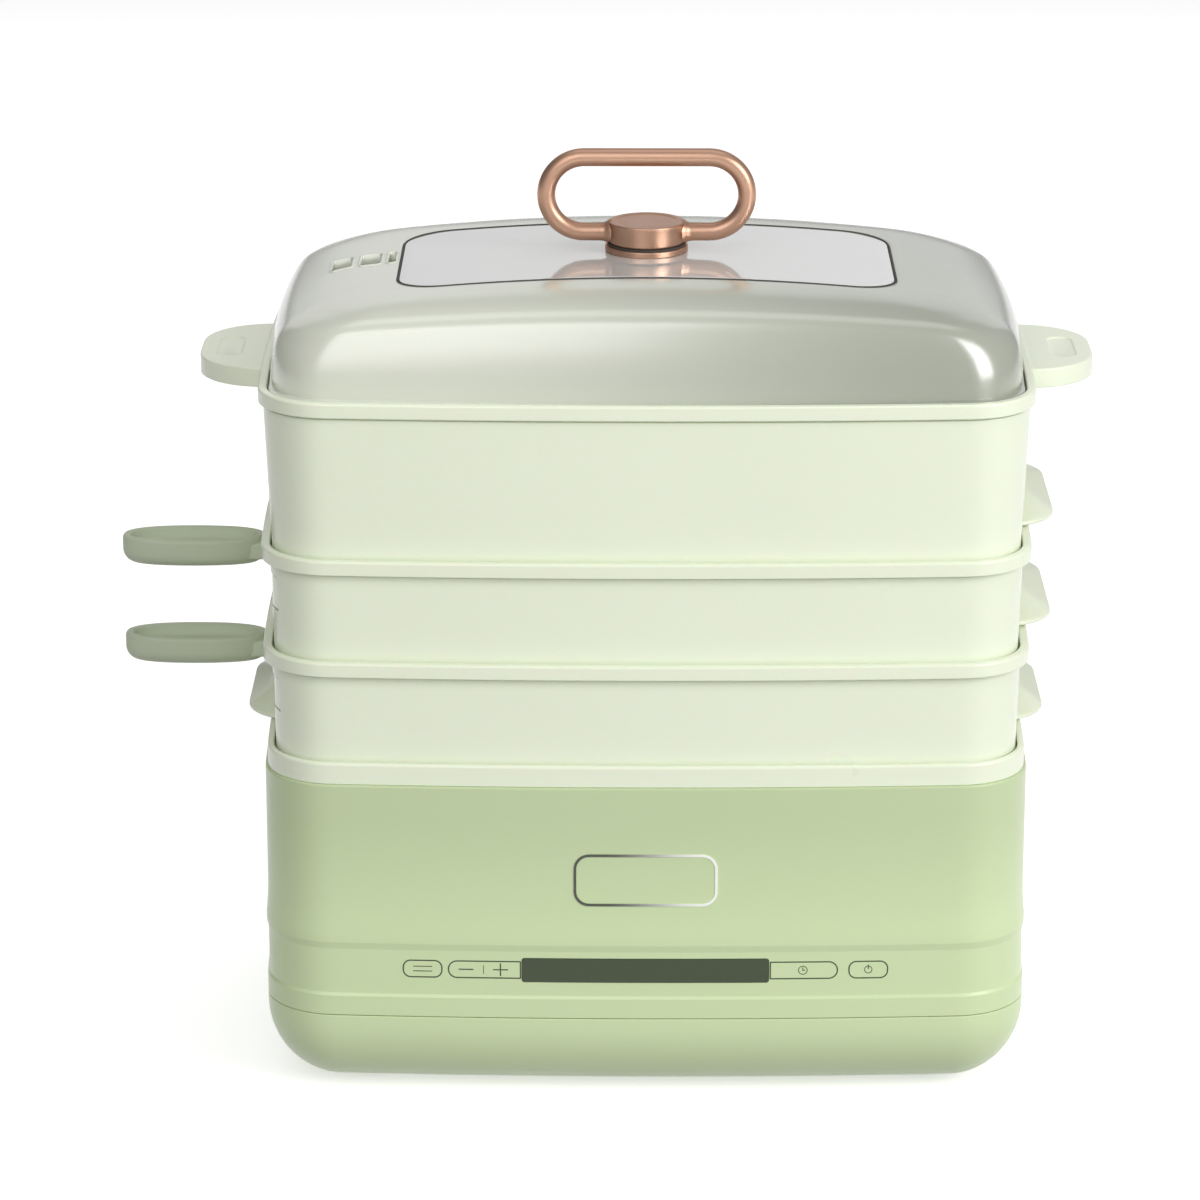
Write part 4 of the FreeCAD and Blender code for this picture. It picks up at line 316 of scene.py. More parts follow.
FINISHES: dict[str, Finish] = {
    # Painted shade: the housing's sage turns to its darker second tone towards the top of the
    # shell, between 0.082 and 0.142 up.
    "sage_gloss": Finish(
        "SageGloss", tone(208, 225, 177), tone(194, 210, 165), 0.34, coat=0.25,
        coat_roughness=0.2, subsurface=0.05, painted_shading=(0.082, 0.142), painted_shading_axis="Z",
        scuffs=0.03),
    "sage_satin": Finish(
        "SageSatin", tone(208, 225, 177), tone(203, 219, 172), 0.42, grain_scale=1400,
        scuffs=0.03),
    "cream_gloss": Finish(
        "CreamGloss", tone(237, 243, 221), tone(234, 240, 217), 0.3, 0.03, coat=0.3,
        coat_roughness=0.16, subsurface=0.12, scuffs=0.004),
    "handle_sage": Finish(
        "HandleSage", tone(197, 206, 181), tone(191, 200, 174), 0.44, relief_strength=0.4,
        grain_scale=1600),
    # Painted light and shade over the lid's smoky tint: pale cream at the left, darker grey-green
    # at the right, along X.
    "lid_smoke": Finish(
        "LidSmokePaintedShading", tone(248, 252, 235), tone(184, 189, 173), 0.22, 0.02, coat=1.0,
        coat_roughness=0.2, transmission=0.28, ior=1.8, painted_shading=(-0.10, 0.17),
        relief_strength=0.06, scuffs=0.02),
    "window_glass": Finish(
        "WindowGlass", tone(248, 249, 247), tone(243, 245, 243), 0.08, 0.01, coat=1.0,
        coat_roughness=0.05, transmission=0.3, ior=1.8, relief_strength=0.03, scuffs=0.02),
    "smoked_glass": Finish(
        "SmokedGlass", tone(50, 64, 34), tone(46, 59, 31), 0.3, 0.03, coat=0.1,
        coat_roughness=0.06, relief_strength=0.05, scuffs=0.03),
    "rose_copper": Finish(
        "RoseCopper", tone(204, 165, 142), tone(193, 153, 130), 0.36, 0.05, metallic=1.0,
        grain_scale=2600, relief=0.00003, relief_strength=0.5, scuffs=0.05),
    "steel": Finish(
        "BrushedSteel", tone(205, 205, 202), tone(190, 190, 188), 0.3, 0.06, metallic=1.0,
        grain=Grain.ALONG_X, grain_scale=1800, relief_strength=0.35),
    "zinc_steel": Finish(
        "ZincSteel", tone(186, 189, 192), tone(168, 172, 178), 0.36, 0.08, metallic=1.0,
        cloud_scale=60, grain_scale=1200, relief_strength=0.3),
    "dull_steel": Finish(
        "HeatDulledSteel", tone(150, 140, 128), tone(112, 104, 100), 0.5, 0.1, metallic=1.0,
        cloud_scale=45, relief_strength=0.5),
    "cast_aluminium": Finish(
        "CastAluminium", tone(188, 188, 186), tone(170, 171, 170), 0.52, 0.08, metallic=1.0,
        cloud_scale=30, grain_scale=600, relief=0.0001, relief_strength=0.6),
    "brass": Finish(
        "PlatedBrass", tone(212, 190, 128), tone(196, 172, 108), 0.3, metallic=1.0,
        cloud_scale=80),
    "rubber": Finish(
        "FootRubber", tone(126, 133, 116), tone(114, 122, 104), 0.72, 0.06, cloud_scale=40,
        grain_scale=1500, relief=0.00006, relief_strength=0.6),
    "silicone": Finish(
        "DarkSilicone", tone(64, 62, 57), tone(56, 54, 50), 0.6, 0.06, cloud_scale=40,
        grain_scale=1500, relief_strength=0.5),
    "dark_plastic": Finish(
        "DarkPlastic", tone(50, 51, 53), tone(42, 43, 45), 0.5, 0.06, cloud_scale=30,
        grain_scale=1300, relief=0.00005, relief_strength=0.6),
    "circuit_board": Finish(
        "CircuitBoard", tone(44, 104, 62), tone(34, 86, 50), 0.4, 0.05, cloud_scale=140,
        grain_scale=700, relief=0.00005, relief_strength=0.5),
}

# Painted reflection: the badge line's chrome look is its colour, dark green-black at the left,
# turning near white at the right.
CHROME_LINE_PAINTED_REFLECTION = Finish(
    "ChromeLinePaintedReflection", tone(38, 46, 28), tone(252, 254, 248), 0.3, 0.04, coat=0.4,
    painted_shading=(0.0, 0.05), relief_strength=0.1)
KEY_PRINT = Finish(
    "KeyPrint", tone(74, 86, 60), tone(66, 78, 53), 0.55, cloud_scale=120)
PALE_STAGE = Finish(
    "PaleStage", tone(252, 252, 252), tone(251, 251, 251), 0.9, glow=0.5, cloud_scale=1.0,
    grain_scale=40, relief_strength=0.0, scuffs=0.0)


@dataclass
class Wardrobe:
    """Makes each finish once and puts it on pieces."""

    made: dict[str, bpy.types.Material] = field(default_factory=dict)

    def material(self, finish: Finish) -> bpy.types.Material:
        """Gives the material of a finish.

        Args:
            finish: The finish.

        Returns:
            Its material, made at the first call.
        """
        if finish.name not in self.made:
            self.made[finish.name] = finish.make()
        return self.made[finish.name]

    def dress(self, piece: bpy.types.Object, slot: str, body: Body,
              finish: Finish | None = None) -> None:
        """Dresses a new piece and hands it to its body.

        Args:
            piece: The new piece.
            slot: The record's material slot that it takes its finish from.
            body: The body that it rides on.
            finish: A finish of its own, where it has one.
        """
        piece.data.materials.clear()
        piece.data.materials.append(self.material(finish or FINISHES[slot]))
        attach(piece, body.value)
        LOG.info("piece %s on %s, finish %s", piece.name, body.value, slot)

    def dress_nodes(self) -> None:
        """Puts the record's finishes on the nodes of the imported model."""
        slots = {row["node"]: row["material_slot"] for row in frame["record"]["subparts"]}
        for name, node in frame["nodes"].items():
            material = self.material(FINISHES[slots[name]])
            node.data.materials.clear()
            node.data.materials.append(material)
        LOG.info("dressed %d nodes of the model", len(slots))


# Shaping tools


def clear_selection() -> None:
    """Deselects everything, so that an operator acts only on what is picked next."""
    bpy.ops.object.select_all(action="DESELECT")


def pick(piece: bpy.types.Object) -> None:
    """Selects one piece alone and makes it the active one."""
    clear_selection()
    piece.select_set(True)
    bpy.context.view_layer.objects.active = piece


def rename(piece: bpy.types.Object, name: str) -> None:
    """Gives a piece and its mesh one name."""
    piece.name = name
    piece.data.name = name


def smooth(piece: bpy.types.Object, angle: float = PIECE_SMOOTH) -> None:
    """Shades a piece smooth, with its sharp edges kept."""
    pick(piece)
    bpy.ops.object.shade_smooth_by_angle(angle=angle)


def apply_modifier(piece: bpy.types.Object, kind: str, **settings: object) -> None:
    """Adds a modifier and applies it.

    Args:
        piece: The piece.
        kind: The modifier's type.
        **settings: Its settings.
    """
    pick(piece)
    modifier = piece.modifiers.new(kind.title(), kind)
    for name, value in settings.items():
        setattr(modifier, name, value)
    bpy.ops.object.modifier_apply(modifier=modifier.name)


def cut(piece: bpy.types.Object, tools: Sequence[bpy.types.Object]) -> None:
    """Cuts forms out of a piece.

    Args:
        piece: The piece.
        tools: The closed forms, which are used up.
    """
    for tool in tools:
        apply_modifier(piece, "BOOLEAN", operation="DIFFERENCE", solver="EXACT", object=tool)
        bpy.data.objects.remove(tool)


def join(pieces: Sequence[bpy.types.Object]) -> bpy.types.Object:
    """Makes several pieces one, which keeps the first one's name."""
    clear_selection()
    for piece in pieces:
        piece.select_set(True)
    bpy.context.view_layer.objects.active = pieces[0]
    bpy.ops.object.join()
    return bpy.context.object


def ring_of(plan: Plan, level: float, sign: int = 1) -> Ring:
    """Lays a plan round the stack's middle at a level, turned about where the sign is -1."""
    return [Vector((CENTRE_X + x * sign, y * sign, level)) for x, y in plan]


def block(name: str, low: Sequence[float], high: Sequence[float], edge: float = 0.0,
          steps: int = 3) -> bpy.types.Object:
    """Makes a block between two corners, with its edges rounded.

    Args:
        name: The block's name.
        low: Its lowest corner.
        high: Its highest corner.
        edge: The radius of its edges.
        steps: Segments of the rounding.

    Returns:
        The block, with its place in its mesh.
    """
    clear_selection()
    middle = [(a + b) / 2 for a, b in zip(low, high)]
    bpy.ops.mesh.primitive_cube_add(size=1.0, location=middle)
    piece = bpy.context.object
    rename(piece, name)
    piece.scale = [b - a for a, b in zip(low, high)]
    bpy.ops.object.transform_apply(location=True, rotation=False, scale=True)
    if edge:
        bpy.ops.object.mode_set(mode="EDIT")
        bpy.ops.mesh.select_all(action="SELECT")
        bpy.ops.mesh.bevel(offset=edge, segments=steps, affect="EDGES")
        bpy.ops.object.mode_set(mode="OBJECT")
    return piece


class RingForm:
    """A form drawn ring by ring in edit mode, by extruding one primitive circle."""

    def __init__(self, name: str, first: Ring, capped: bool = True) -> None:
        """Starts the form.

        Args:
            name: The piece's name.
            first: The points of the first ring.
            capped: Whether the form is closed at both ends by a face.
        """
        clear_selection()
        bpy.ops.mesh.primitive_circle_add(
            vertices=len(first), radius=1.0, fill_type="NGON" if capped else "NOTHING")
        self.piece = bpy.context.object
        rename(self.piece, name)
        for vertex, point in zip(self.piece.data.vertices, first):
            vertex.co = point
        self.first = list(first)
        self.last = list(first)
        bpy.ops.object.mode_set(mode="EDIT")
        bpy.ops.mesh.select_all(action="SELECT")

    def grow(self, ring: Ring) -> "RingForm":
        """Extrudes the last ring and brings it to the next one's place.

        Args:
            ring: The next ring's points, in the first ring's order.

        Returns:
            The form itself, so that calls can follow each other.
        """
        bpy.ops.mesh.extrude_region()
        finder = KDTree(len(self.last))
        for index, point in enumerate(self.last):
            finder.insert(point, index)
        finder.balance()
        mesh = bmesh.from_edit_mesh(self.piece.data)
        for vertex in mesh.verts:
            if vertex.select:
                vertex.co = ring[finder.find(vertex.co)[1]]
        bmesh.update_edit_mesh(self.piece.data)
        self.last = list(ring)
        return self

    def grow_all(self, rings: Sequence[Ring]) -> "RingForm":
        """Grows the form through several rings."""
        for ring in rings:
            self.grow(ring)
        return self

    def close(self) -> "RingForm":
        """Brings the last ring round to the first one."""
        return self.grow(self.first)

    def finish(self, angle: float = PIECE_SMOOTH) -> bpy.types.Object:
        """Welds the form, turns its faces outwards and shades it.

        Args:
            angle: Edges that turn by more than this stay sharp.

        Returns:
            The finished piece.
        """
        bpy.ops.mesh.select_all(action="SELECT")
        bpy.ops.mesh.remove_doubles(threshold=WELD)
        bpy.ops.mesh.normals_make_consistent(inside=False)
        bpy.ops.object.mode_set(mode="OBJECT")
        smooth(self.piece, angle)
        return self.piece


def arc_points(centre: tuple[float, float], radius: float, start: float, end: float,
               steps: int) -> Plan:
    """Points along an arc, without its last one.

    Args:
        centre: The arc's centre.
        radius: Its radius.
        start: Its first angle.
        end: Its last angle.
        steps: How many points.

    Returns:
        The points.
    """
    angles = [start + (end - start) * step / steps for step in range(steps)]
    return [(centre[0] + radius * math.cos(a), centre[1] + radius * math.sin(a)) for a in angles]


@dataclass(frozen=True)
class Barrel:
    """The stack's outline: four wide arcs joined by four corner arcs, all tangent."""

    half_width: float = 0.170
    half_depth: float = 0.108
    corner: float = 0.033
    front_bow: float = 2.3
    side_bow: float = 1.9
    front_steps: int = 24
    side_steps: int = 16
    corner_steps: int = 10

    def plan(self, inset: float = 0.0) -> Plan:
        """The outline moved in all round.

        Args:
            inset: How far it is moved in.

        Returns:
            The points, anticlockwise from the front left.
        """
        front_y, side_x = self.front_bow - self.half_depth, self.side_bow - self.half_width
        to_front, to_side = self.front_bow - self.corner, self.side_bow - self.corner
        apart = math.hypot(side_x, front_y)
        along = (to_side**2 - to_front**2 + apart**2) / (2 * apart)
        away = math.sqrt(to_side**2 - along**2)
        across, up = side_x / apart, front_y / apart
        cx, cy = along * across + away * up - side_x, along * up - away * across
        low, side = math.atan2(cy - front_y, cx), math.atan2(cy, cx + side_x)
        front, flank, corner = (r - inset for r in (self.front_bow, self.side_bow, self.corner))
        turns = (
            ((0.0, front_y), front, -math.pi - low, low, self.front_steps),
            ((cx, cy), corner, low, side, self.corner_steps),
            ((-side_x, 0.0), flank, side, -side, self.side_steps),
            ((cx, -cy), corner, -side, -low, self.corner_steps),
            ((0.0, -front_y), front, -low, math.pi + low, self.front_steps),
            ((-cx, -cy), corner, math.pi + low, math.pi + side, self.corner_steps),
            ((side_x, 0.0), flank, math.pi + side, math.pi - side, self.side_steps),
            ((-cx, cy), corner, math.pi - side, math.pi - low, self.corner_steps),
        )
        return [point for turn in turns for point in arc_points(*turn)]

    def ring(self, inset: float, level: float) -> Ring:
        """The outline at a level, moved in by an inset."""
        return ring_of(self.plan(inset), level)

    def front_at(self, across: float, inset: float) -> float:
        """Y of the front face at a place across it, from the middle."""
        reach = self.front_bow - inset
        return self.front_bow - self.half_depth - math.sqrt(reach**2 - across**2)

    def left_at(self, along: float, inset: float) -> float:
        """X of the left face at a place along it, round its corners too."""
        left = [point for point in self.plan(inset) if point[0] < -self.half_width / 2]
        (x0, y0), (x1, y1) = sorted(left, key=lambda point: abs(point[1] - along))[:2]
        return x0 if y0 == y1 else x0 + (x1 - x0) * (along - y0) / (y1 - y0)


STACK = Barrel()


@dataclass(frozen=True)
class Turn:
    """A corner of a wall's profile: how far in it lies, how high, and how round it is."""

    inset: float
    level: float
    radius: float = 0.0
    steps: int = 4


def rounded(turns: Sequence[Turn], closed: bool = True) -> Plan:
    """Rounds the corners of a profile, with a holding point beside each rounding.

    Args:
        turns: The corners in order.
        closed: Whether the last corner goes on to the first.

    Returns:
        The points of the profile.
    """
    points: Plan = []
    count = len(turns)
    for index, turn in enumerate(turns):
        here = Vector((turn.inset, turn.level))
        at_end = not closed and index in (0, count - 1)
        if turn.radius == 0 or at_end:
            points.append(tuple(here))
            continue
        before = Vector((turns[index - 1].inset, turns[index - 1].level)) - here
        beyond = turns[(index + 1) % count]
        after = Vector((beyond.inset, beyond.level)) - here
        half = before.angle(after) / 2
        room = min(before.length * ROUNDING_ROOM, after.length * ROUNDING_ROOM)
        reach = min(turn.radius / math.tan(half), room)
        radius = reach * math.tan(half)
        start, end = here + before.normalized() * reach, here + after.normalized() * reach
        centre = here + (before.normalized() + after.normalized()).normalized() * (
            radius / math.sin(half))
        first = math.atan2(start.y - centre.y, start.x - centre.x)
        swing = math.atan2(end.y - centre.y, end.x - centre.x) - first
        swing = (swing + math.pi) % (2 * math.pi) - math.pi
        hold = reach * HOLD_SHARE
        points.append(tuple(start + before.normalized() * hold))
        points += arc_points(tuple(centre), radius, first, first + swing, turn.steps)
        points.append(tuple(end))
        points.append(tuple(end + after.normalized() * hold))
    return points


def sweep(name: str, outline: Barrel, turns: Sequence[Turn], capped: bool = False
          ) -> bpy.types.Object:
    """Carries a profile round an outline.

    Args:
        name: The piece's name.
        outline: The outline.
        turns: The profile's corners.
        capped: Whether its two ends are closed by faces, and not joined to each other.

    Returns:
        The piece.
    """
    rings = [outline.ring(inset, level) for inset, level in rounded(turns, not capped)]
    form = RingForm(name, rings[0], capped).grow_all(rings[1:])
    if not capped:
        form.close()
    return form.finish()


def rounded_rectangle(left: float, right: float, low: float, high: float,
                      radii: Sequence[float], side_steps: int = 8, corner_steps: int = 8
                      ) -> Plan:
    """A rectangle with rounded corners.

    Args:
        left: Its left side.
        right: Its right side.
        low: Its lower side.
        high: Its upper side.
        radii: The four corner radii, anticlockwise from the lower left.
        side_steps: Segments of each side.
        corner_steps: Segments of each corner.

    Returns:
        The points, anticlockwise from the lower left corner's end.
    """
    centres = (
        (left + radii[0], low + radii[0]), (right - radii[1], low + radii[1]),
        (right - radii[2], high - radii[2]), (left + radii[3], high - radii[3]),
    )
    points: Plan = []
    for index, centre in enumerate(centres):
        start = math.pi + QUARTER * index
        points += arc_points(centre, radii[index], start, start + QUARTER, corner_steps)
        last = (centre[0] + radii[index] * math.cos(start + QUARTER),
                centre[1] + radii[index] * math.sin(start + QUARTER))
        ahead = (index + 1) % 4
        goal = (centres[ahead][0] + radii[ahead] * math.cos(start + QUARTER),
                centres[ahead][1] + radii[ahead] * math.sin(start + QUARTER))
        points += [(last[0] + (goal[0] - last[0]) * step / side_steps,
                    last[1] + (goal[1] - last[1]) * step / side_steps)
                   for step in range(side_steps)]
    return points


def circle_ring(centre: Vector, across: Vector, up: Vector, radius: float, steps: int) -> Ring:
    """Points of a circle.

    Args:
        centre: Its centre.
        across: One direction in its plane.
        up: The other direction.
        radius: Its radius.
        steps: How many points.

    Returns:
        The points.
    """
    angles = [2 * math.pi * step / steps for step in range(steps)]
    return [centre + (across * math.cos(a) + up * math.sin(a)) * radius for a in angles]


def turned(name: str, turns: Sequence[Turn], centre: tuple[float, float] = (CENTRE_X, 0.0),
           steps: int = 64) -> bpy.types.Object:
    """A round piece with an upright axis, closed by a face at each end.

    Args:
        name: The piece's name.
        turns: Its profile, with the radius in the place of the inset.
        centre: The axis.
        steps: Segments round the axis.

    Returns:
        The piece.
    """
    across, up = Vector((1, 0, 0)), Vector((0, 1, 0))
    rings = [circle_ring(Vector((*centre, level)), across, up, radius, steps)
             for radius, level in rounded(turns, closed=False)]
    return RingForm(name, rings[0]).grow_all(rings[1:]).finish()


# Sub-assemblies


@dataclass
class Housing:
    """The green base: lower tray, upper shell with the control band, and cream collar."""

    floor_level: float = 0.003
    rounding: float = 0.036
    rounding_top: float = 0.038453
    rounding_angle: float = math.radians(80)
    rounding_steps: int = 16
    wall: float = 0.003
    parting: float = 0.042
    parting_gap: float = 0.00014
    band_low: float = 0.0512
    band_high: float = 0.0764
    band_depth: float = 0.0008
    flare: float = 0.0009
    flare_gap: float = 0.003
    flare_top: float = 0.096
    flare_steps: int = 6
    shell_top: float = 0.1494
    collar_top: float = 0.159
    inlet_low: tuple[float, float, float] = (CENTRE_X - 0.01375, 0.1, 0.05425)
    inlet_high: tuple[float, float, float] = (CENTRE_X + 0.01375, 0.12, 0.07275)
    vent_count: int = 8
    vent_pitch: float = 0.009
    vent_half_width: float = 0.0015
    vent_span: tuple[float, float] = (-0.061, -0.035)
    vent_depth: float = 0.012
    well_across: float = 0.134
    well_along: float = 0.05
    well_radius: float = 0.0036
    ledge_inset: float = 0.008
    ledge_span: tuple[float, float] = (0.1437, 0.1462)
    rim_inset: float = 0.002
    lip_inset: float = 0.005
    lip_depth: float = 0.005
    throat_inset: float = 0.014
    skirt_inset: float = 0.0043
    skirt_low: float = 0.1465

    def rounding_turns(self, inset: float, radius: float, rising: bool) -> list[Turn]:
        """The arc between the floor and the wall.

        Args:
            inset: How far in the wall is.
            radius: The arc's radius.
            rising: Whether it runs from the floor up.

        Returns:
            Points of the arc as plain corners.
        """
        angles = [self.rounding_angle * step / self.rounding_steps
                  for step in range(self.rounding_steps + 1)]
        if rising:
            angles.reverse()
        return [Turn(inset + radius * (1 - math.cos(a)), self.rounding_top - radius * math.sin(a))
                for a in angles]

    def build_tray(self, wardrobe: Wardrobe) -> None:
        """The lower tray with its rounded sides, vents and screw wells."""
        outer = self.rounding_turns(0.0, self.rounding, rising=True)
        inner = self.rounding_turns(self.wall, self.rounding - self.wall, rising=False)
        lip = self.parting - self.parting_gap
        hold = 0.001
        turns = [Turn(outer[0].inset + hold, self.floor_level), *outer,
                 Turn(0.0, lip, 0.0004), Turn(self.wall, lip, 0.0004), *inner,
                 Turn(inner[-1].inset + hold, inner[-1].level)]
        tray = sweep("housing_tray", STACK, turns, capped=True)
        cut(tray, self.underside_tools())
        smooth(tray)
        wardrobe.dress(tray, "sage_gloss", Body.BASE)
        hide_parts("bottom_shell")

    def underside_tools(self) -> list[bpy.types.Object]:
        """The forms that are cut from the floor: air slots and screw wells."""
        tools = []
        first = CENTRE_X - self.vent_pitch * (self.vent_count - 1) / 2
        for index in range(self.vent_count):
            across = first + self.vent_pitch * index
            tools.append(block(
                f"slot_{index}", (across - self.vent_half_width, self.vent_span[0], 0.0),
                (across + self.vent_half_width, self.vent_span[1], self.vent_depth), 0.0009))
        for side in Side:
            for end in (-self.well_along, self.well_along):
                centre = (CENTRE_X + self.well_across * side.value, end)
                wall = [Turn(self.well_radius, 0.0), Turn(self.well_radius, 0.03)]
                tools.append(turned(f"well_{side.name}_{end}", wall, centre, 32))
        return tools

    def build_shell(self, wardrobe: Wardrobe) -> None:
        """The upper shell: control band, flare above it, ledge, and the hole at the back."""
        flare = []
        for step in range(self.flare_steps + 1):
            share = step / self.flare_steps
            rise = self.flare_top - self.band_high - self.flare_gap
            level = self.band_high + self.flare_gap + rise * share
            flare.append(Turn(self.flare * (1 - (1 - share) ** 2), level))
        depth, (ledge_low, ledge_high) = self.band_depth, self.ledge_span
        turns = [
            Turn(0.0, self.parting + self.parting_gap, 0.0004),
            Turn(0.0, self.band_low, 0.0007),
            Turn(depth, self.band_low + 0.0013, 0.0008),
            Turn(depth, self.band_high - 0.0032, 0.002),
            Turn(0.0, self.band_high, 0.0016),
            *flare,
            Turn(self.flare, self.shell_top, 0.0009),
            Turn(self.wall, self.shell_top, 0.0004),
            Turn(self.wall, ledge_high),
            Turn(self.ledge_inset, ledge_high),
            Turn(self.ledge_inset, ledge_low),
            Turn(self.wall, ledge_low),
            Turn(self.wall, self.parting + self.parting_gap, 0.0004),
        ]
        shell = sweep("housing_shell", STACK, turns)
        cut(shell, [block("inlet_hole", self.inlet_low, self.inlet_high, 0.0032)])
        smooth(shell)
        wardrobe.dress(shell, "sage_gloss", Body.BASE)
        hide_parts("main_shell")

    def build_collar(self, wardrobe: Wardrobe) -> None:
        """The cream ring that the lowest tier nests in."""
        top, seat = self.collar_top, self.collar_top - self.lip_depth
        turns = [
            Turn(self.rim_inset, self.shell_top, 0.0004),
            Turn(self.rim_inset, top, 0.0014, 6),
            Turn(self.lip_inset, top, 0.0008),
            Turn(self.lip_inset, seat, 0.0004),
            Turn(self.throat_inset, seat, 0.0006),
            Turn(self.throat_inset, self.skirt_low),
            Turn(self.skirt_inset, self.skirt_low),
            Turn(self.skirt_inset, self.shell_top),
        ]
        ring = sweep("steam_collar", STACK, turns)
        wardrobe.dress(ring, "cream_gloss", Body.BASE)
        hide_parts("collar")

    def build(self, wardrobe: Wardrobe) -> None:
        """Builds the whole housing."""
        self.build_tray(wardrobe)
        self.build_shell(wardrobe)
        self.build_collar(wardrobe)


@dataclass
class ControlFront:
    """What the front shows: bare badge frame, key outlines, marks and the display."""

    band_inset: float = 0.0008
    upper_inset: float = 0.0009
    line: float = 0.0006
    print_depth: float = 0.0002
    print_height: float = 0.00006
    key_low: float = 0.0604
    key_high: float = 0.0688
    display_low: float = 0.0589
    display_high: float = 0.0703
    display_half: float = 0.0544
    pill_centre: float = 0.098
    pill_half: float = 0.0088
    pill_corner: float = 0.0036
    strip_gap: float = 0.0002
    left_tip: float = 0.0869
    right_tip: float = 0.0847
    badge_half: float = 0.03145
    badge_low: float = 0.0949
    badge_high: float = 0.119
    badge_corner: float = 0.0068
    badge_line: float = 0.0011
    badge_height: float = 0.00035
    mode_half: float = 0.0042
    timer_across: float = 0.0692
    power_radius: float = 0.0018
    timer_radius: float = 0.0021
    symbol_line: float = 0.00035

    def on_face(self, plan: Plan, inset: float) -> Ring:
        """Lays a flat outline on the bowed front.

        Args:
            plan: Points across and up.
            inset: How far in they lie.

        Returns:
            The points on the front face.
        """
        return [Vector((x + CENTRE_X, STACK.front_at(x, inset), z)) for x, z in plan]

    def frame_line(self, name: str, box: tuple[float, float, float, float],
                   radii: Sequence[float], width: float, inset: float, proud: float
                   ) -> bpy.types.Object:
        """A thin raised line round a rounded rectangle.

        Args:
            name: The piece's name.
            box: Left, right, low and high.
            radii: The corner radii.
            width: The line's width.
            inset: The inset of the face that it lies on.
            proud: How far it stands out of that face.

        Returns:
            The line.
        """
        left, right, low, high = box
        inner_radii = [max(r - width, r * 0.3) for r in radii]
        outer = rounded_rectangle(left, right, low, high, radii)
        inner = rounded_rectangle(left + width, right - width, low + width, high - width,
                                  inner_radii)
        seat, face = inset + self.print_depth, inset - proud
        form = RingForm(name, self.on_face(outer, seat), capped=False)
        form.grow(self.on_face(outer, face)).grow(self.on_face(inner, face))
        return form.grow(self.on_face(inner, seat)).close().finish()

    def bar(self, name: str, box: tuple[float, float, float, float]) -> bpy.types.Object:
        """A short printed bar on the band."""
        left, right, low, high = box
        corner = min(right - left, high - low) * 0.35
        plan = rounded_rectangle(left, right, low, high, [corner] * 4, 2, 3)
        form = RingForm(name, self.on_face(plan, self.band_inset + self.print_depth))
        return form.grow(self.on_face(plan, self.band_inset - self.print_height)).finish()

    def outline(self, name: str, box: tuple[float, float, float, float],
                radii: Sequence[float], width: float) -> bpy.types.Object:
        """A printed outline on the band."""
        return self.frame_line(name, box, radii, width, self.band_inset, self.print_height)

    def build_keys(self, wardrobe: Wardrobe) -> None:
        """The key outlines, the minus and plus marks and plain symbols, as one print."""
        low, high, pill = self.key_low, self.key_high, self.pill_centre
        tip, small = (high - low) / 2, 0.0006
        left_end = -self.display_half - self.strip_gap
        right_start = self.display_half + self.strip_gap
        keys = {
            "key_pill_left": (-pill - self.pill_half, -pill + self.pill_half,
                              [self.pill_corner] * 4),
            "key_pill_right": (pill - self.pill_half, pill + self.pill_half,
                               [self.pill_corner] * 4),
            "key_strip_left": (-self.left_tip, left_end, [tip * 0.98, small, small, tip * 0.98]),
            "key_strip_right": (right_start, self.right_tip,
                                [small, tip * 0.98, tip * 0.98, small]),
        }
        prints = [self.outline(name, (left, right, low, high), radii, self.line)
                  for name, (left, right, radii) in keys.items()]
        middle, thin = (low + high) / 2, 0.00028
        marks = {
            "mark_minus": (-0.0821, -0.0756, middle - thin, middle + thin),
            "mark_divider": (-0.0713, -0.0710, middle - 0.0021, middle + 0.0021),
            "mark_plus_across": (-0.0670, -0.0604, middle - thin, middle + thin),
            "mark_plus_up": (-0.0640, -0.0634, middle - 0.0030, middle + 0.0030),
            "mark_mode_high": (-pill - self.mode_half, -pill + self.mode_half,
                               middle + 0.0009, middle + 0.0013),
            "mark_mode_low": (-pill - self.mode_half, -pill + self.mode_half,
                              middle - 0.0013, middle - 0.0009),
            "mark_power_stem": (pill - 0.00022, pill + 0.00022, middle + 0.0002, middle + 0.0024),
            "mark_timer_hand": (0.0690, 0.0694, middle, middle + 0.0014),
            "mark_timer_arm": (0.0690, 0.0702, middle - 0.0002, middle + 0.0002),
        }
        prints += [self.bar(name, box) for name, box in marks.items()]
        for name, centre, radius in (("mark_power", pill, self.power_radius),
                                     ("mark_timer", self.timer_across, self.timer_radius)):
            box = (centre - radius, centre + radius, middle - radius, middle + radius)
            prints.append(self.outline(name, box, [radius * 0.999] * 4, self.symbol_line))
        film = join(prints)
        rename(film, "key_print")
        wardrobe.dress(film, "sage_satin", Body.BASE, KEY_PRINT)
        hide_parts("control_film")

    def build_display(self, wardrobe: Wardrobe) -> None:
        """The dark display glass, bowed with the front."""
        plan = rounded_rectangle(-self.display_half, self.display_half, self.display_low,
                                 self.display_high, [0.0013] * 4, 16, 5)
        middle = (self.display_low + self.display_high) / 2
        face = self.band_inset - 0.00035
        edge = 0.00025

        form = RingForm("display_glass", self.on_face(plan, self.band_inset + 0.0003))
        form.grow(self.on_face(plan, face + edge))
        shrunk = [(x * (1 - edge / self.display_half), middle + (z - middle) * 0.96)
                  for x, z in plan]
        form.grow(self.on_face(shrunk, face))
        form.grow(self.on_face([(x, middle + (z - middle) * 0.5) for x, z in shrunk], face))
        form.grow(self.on_face([(x, middle) for x, _ in shrunk], face))
        glass = form.finish()
        wardrobe.dress(glass, "smoked_glass", Body.BASE)
        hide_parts("display_lens")

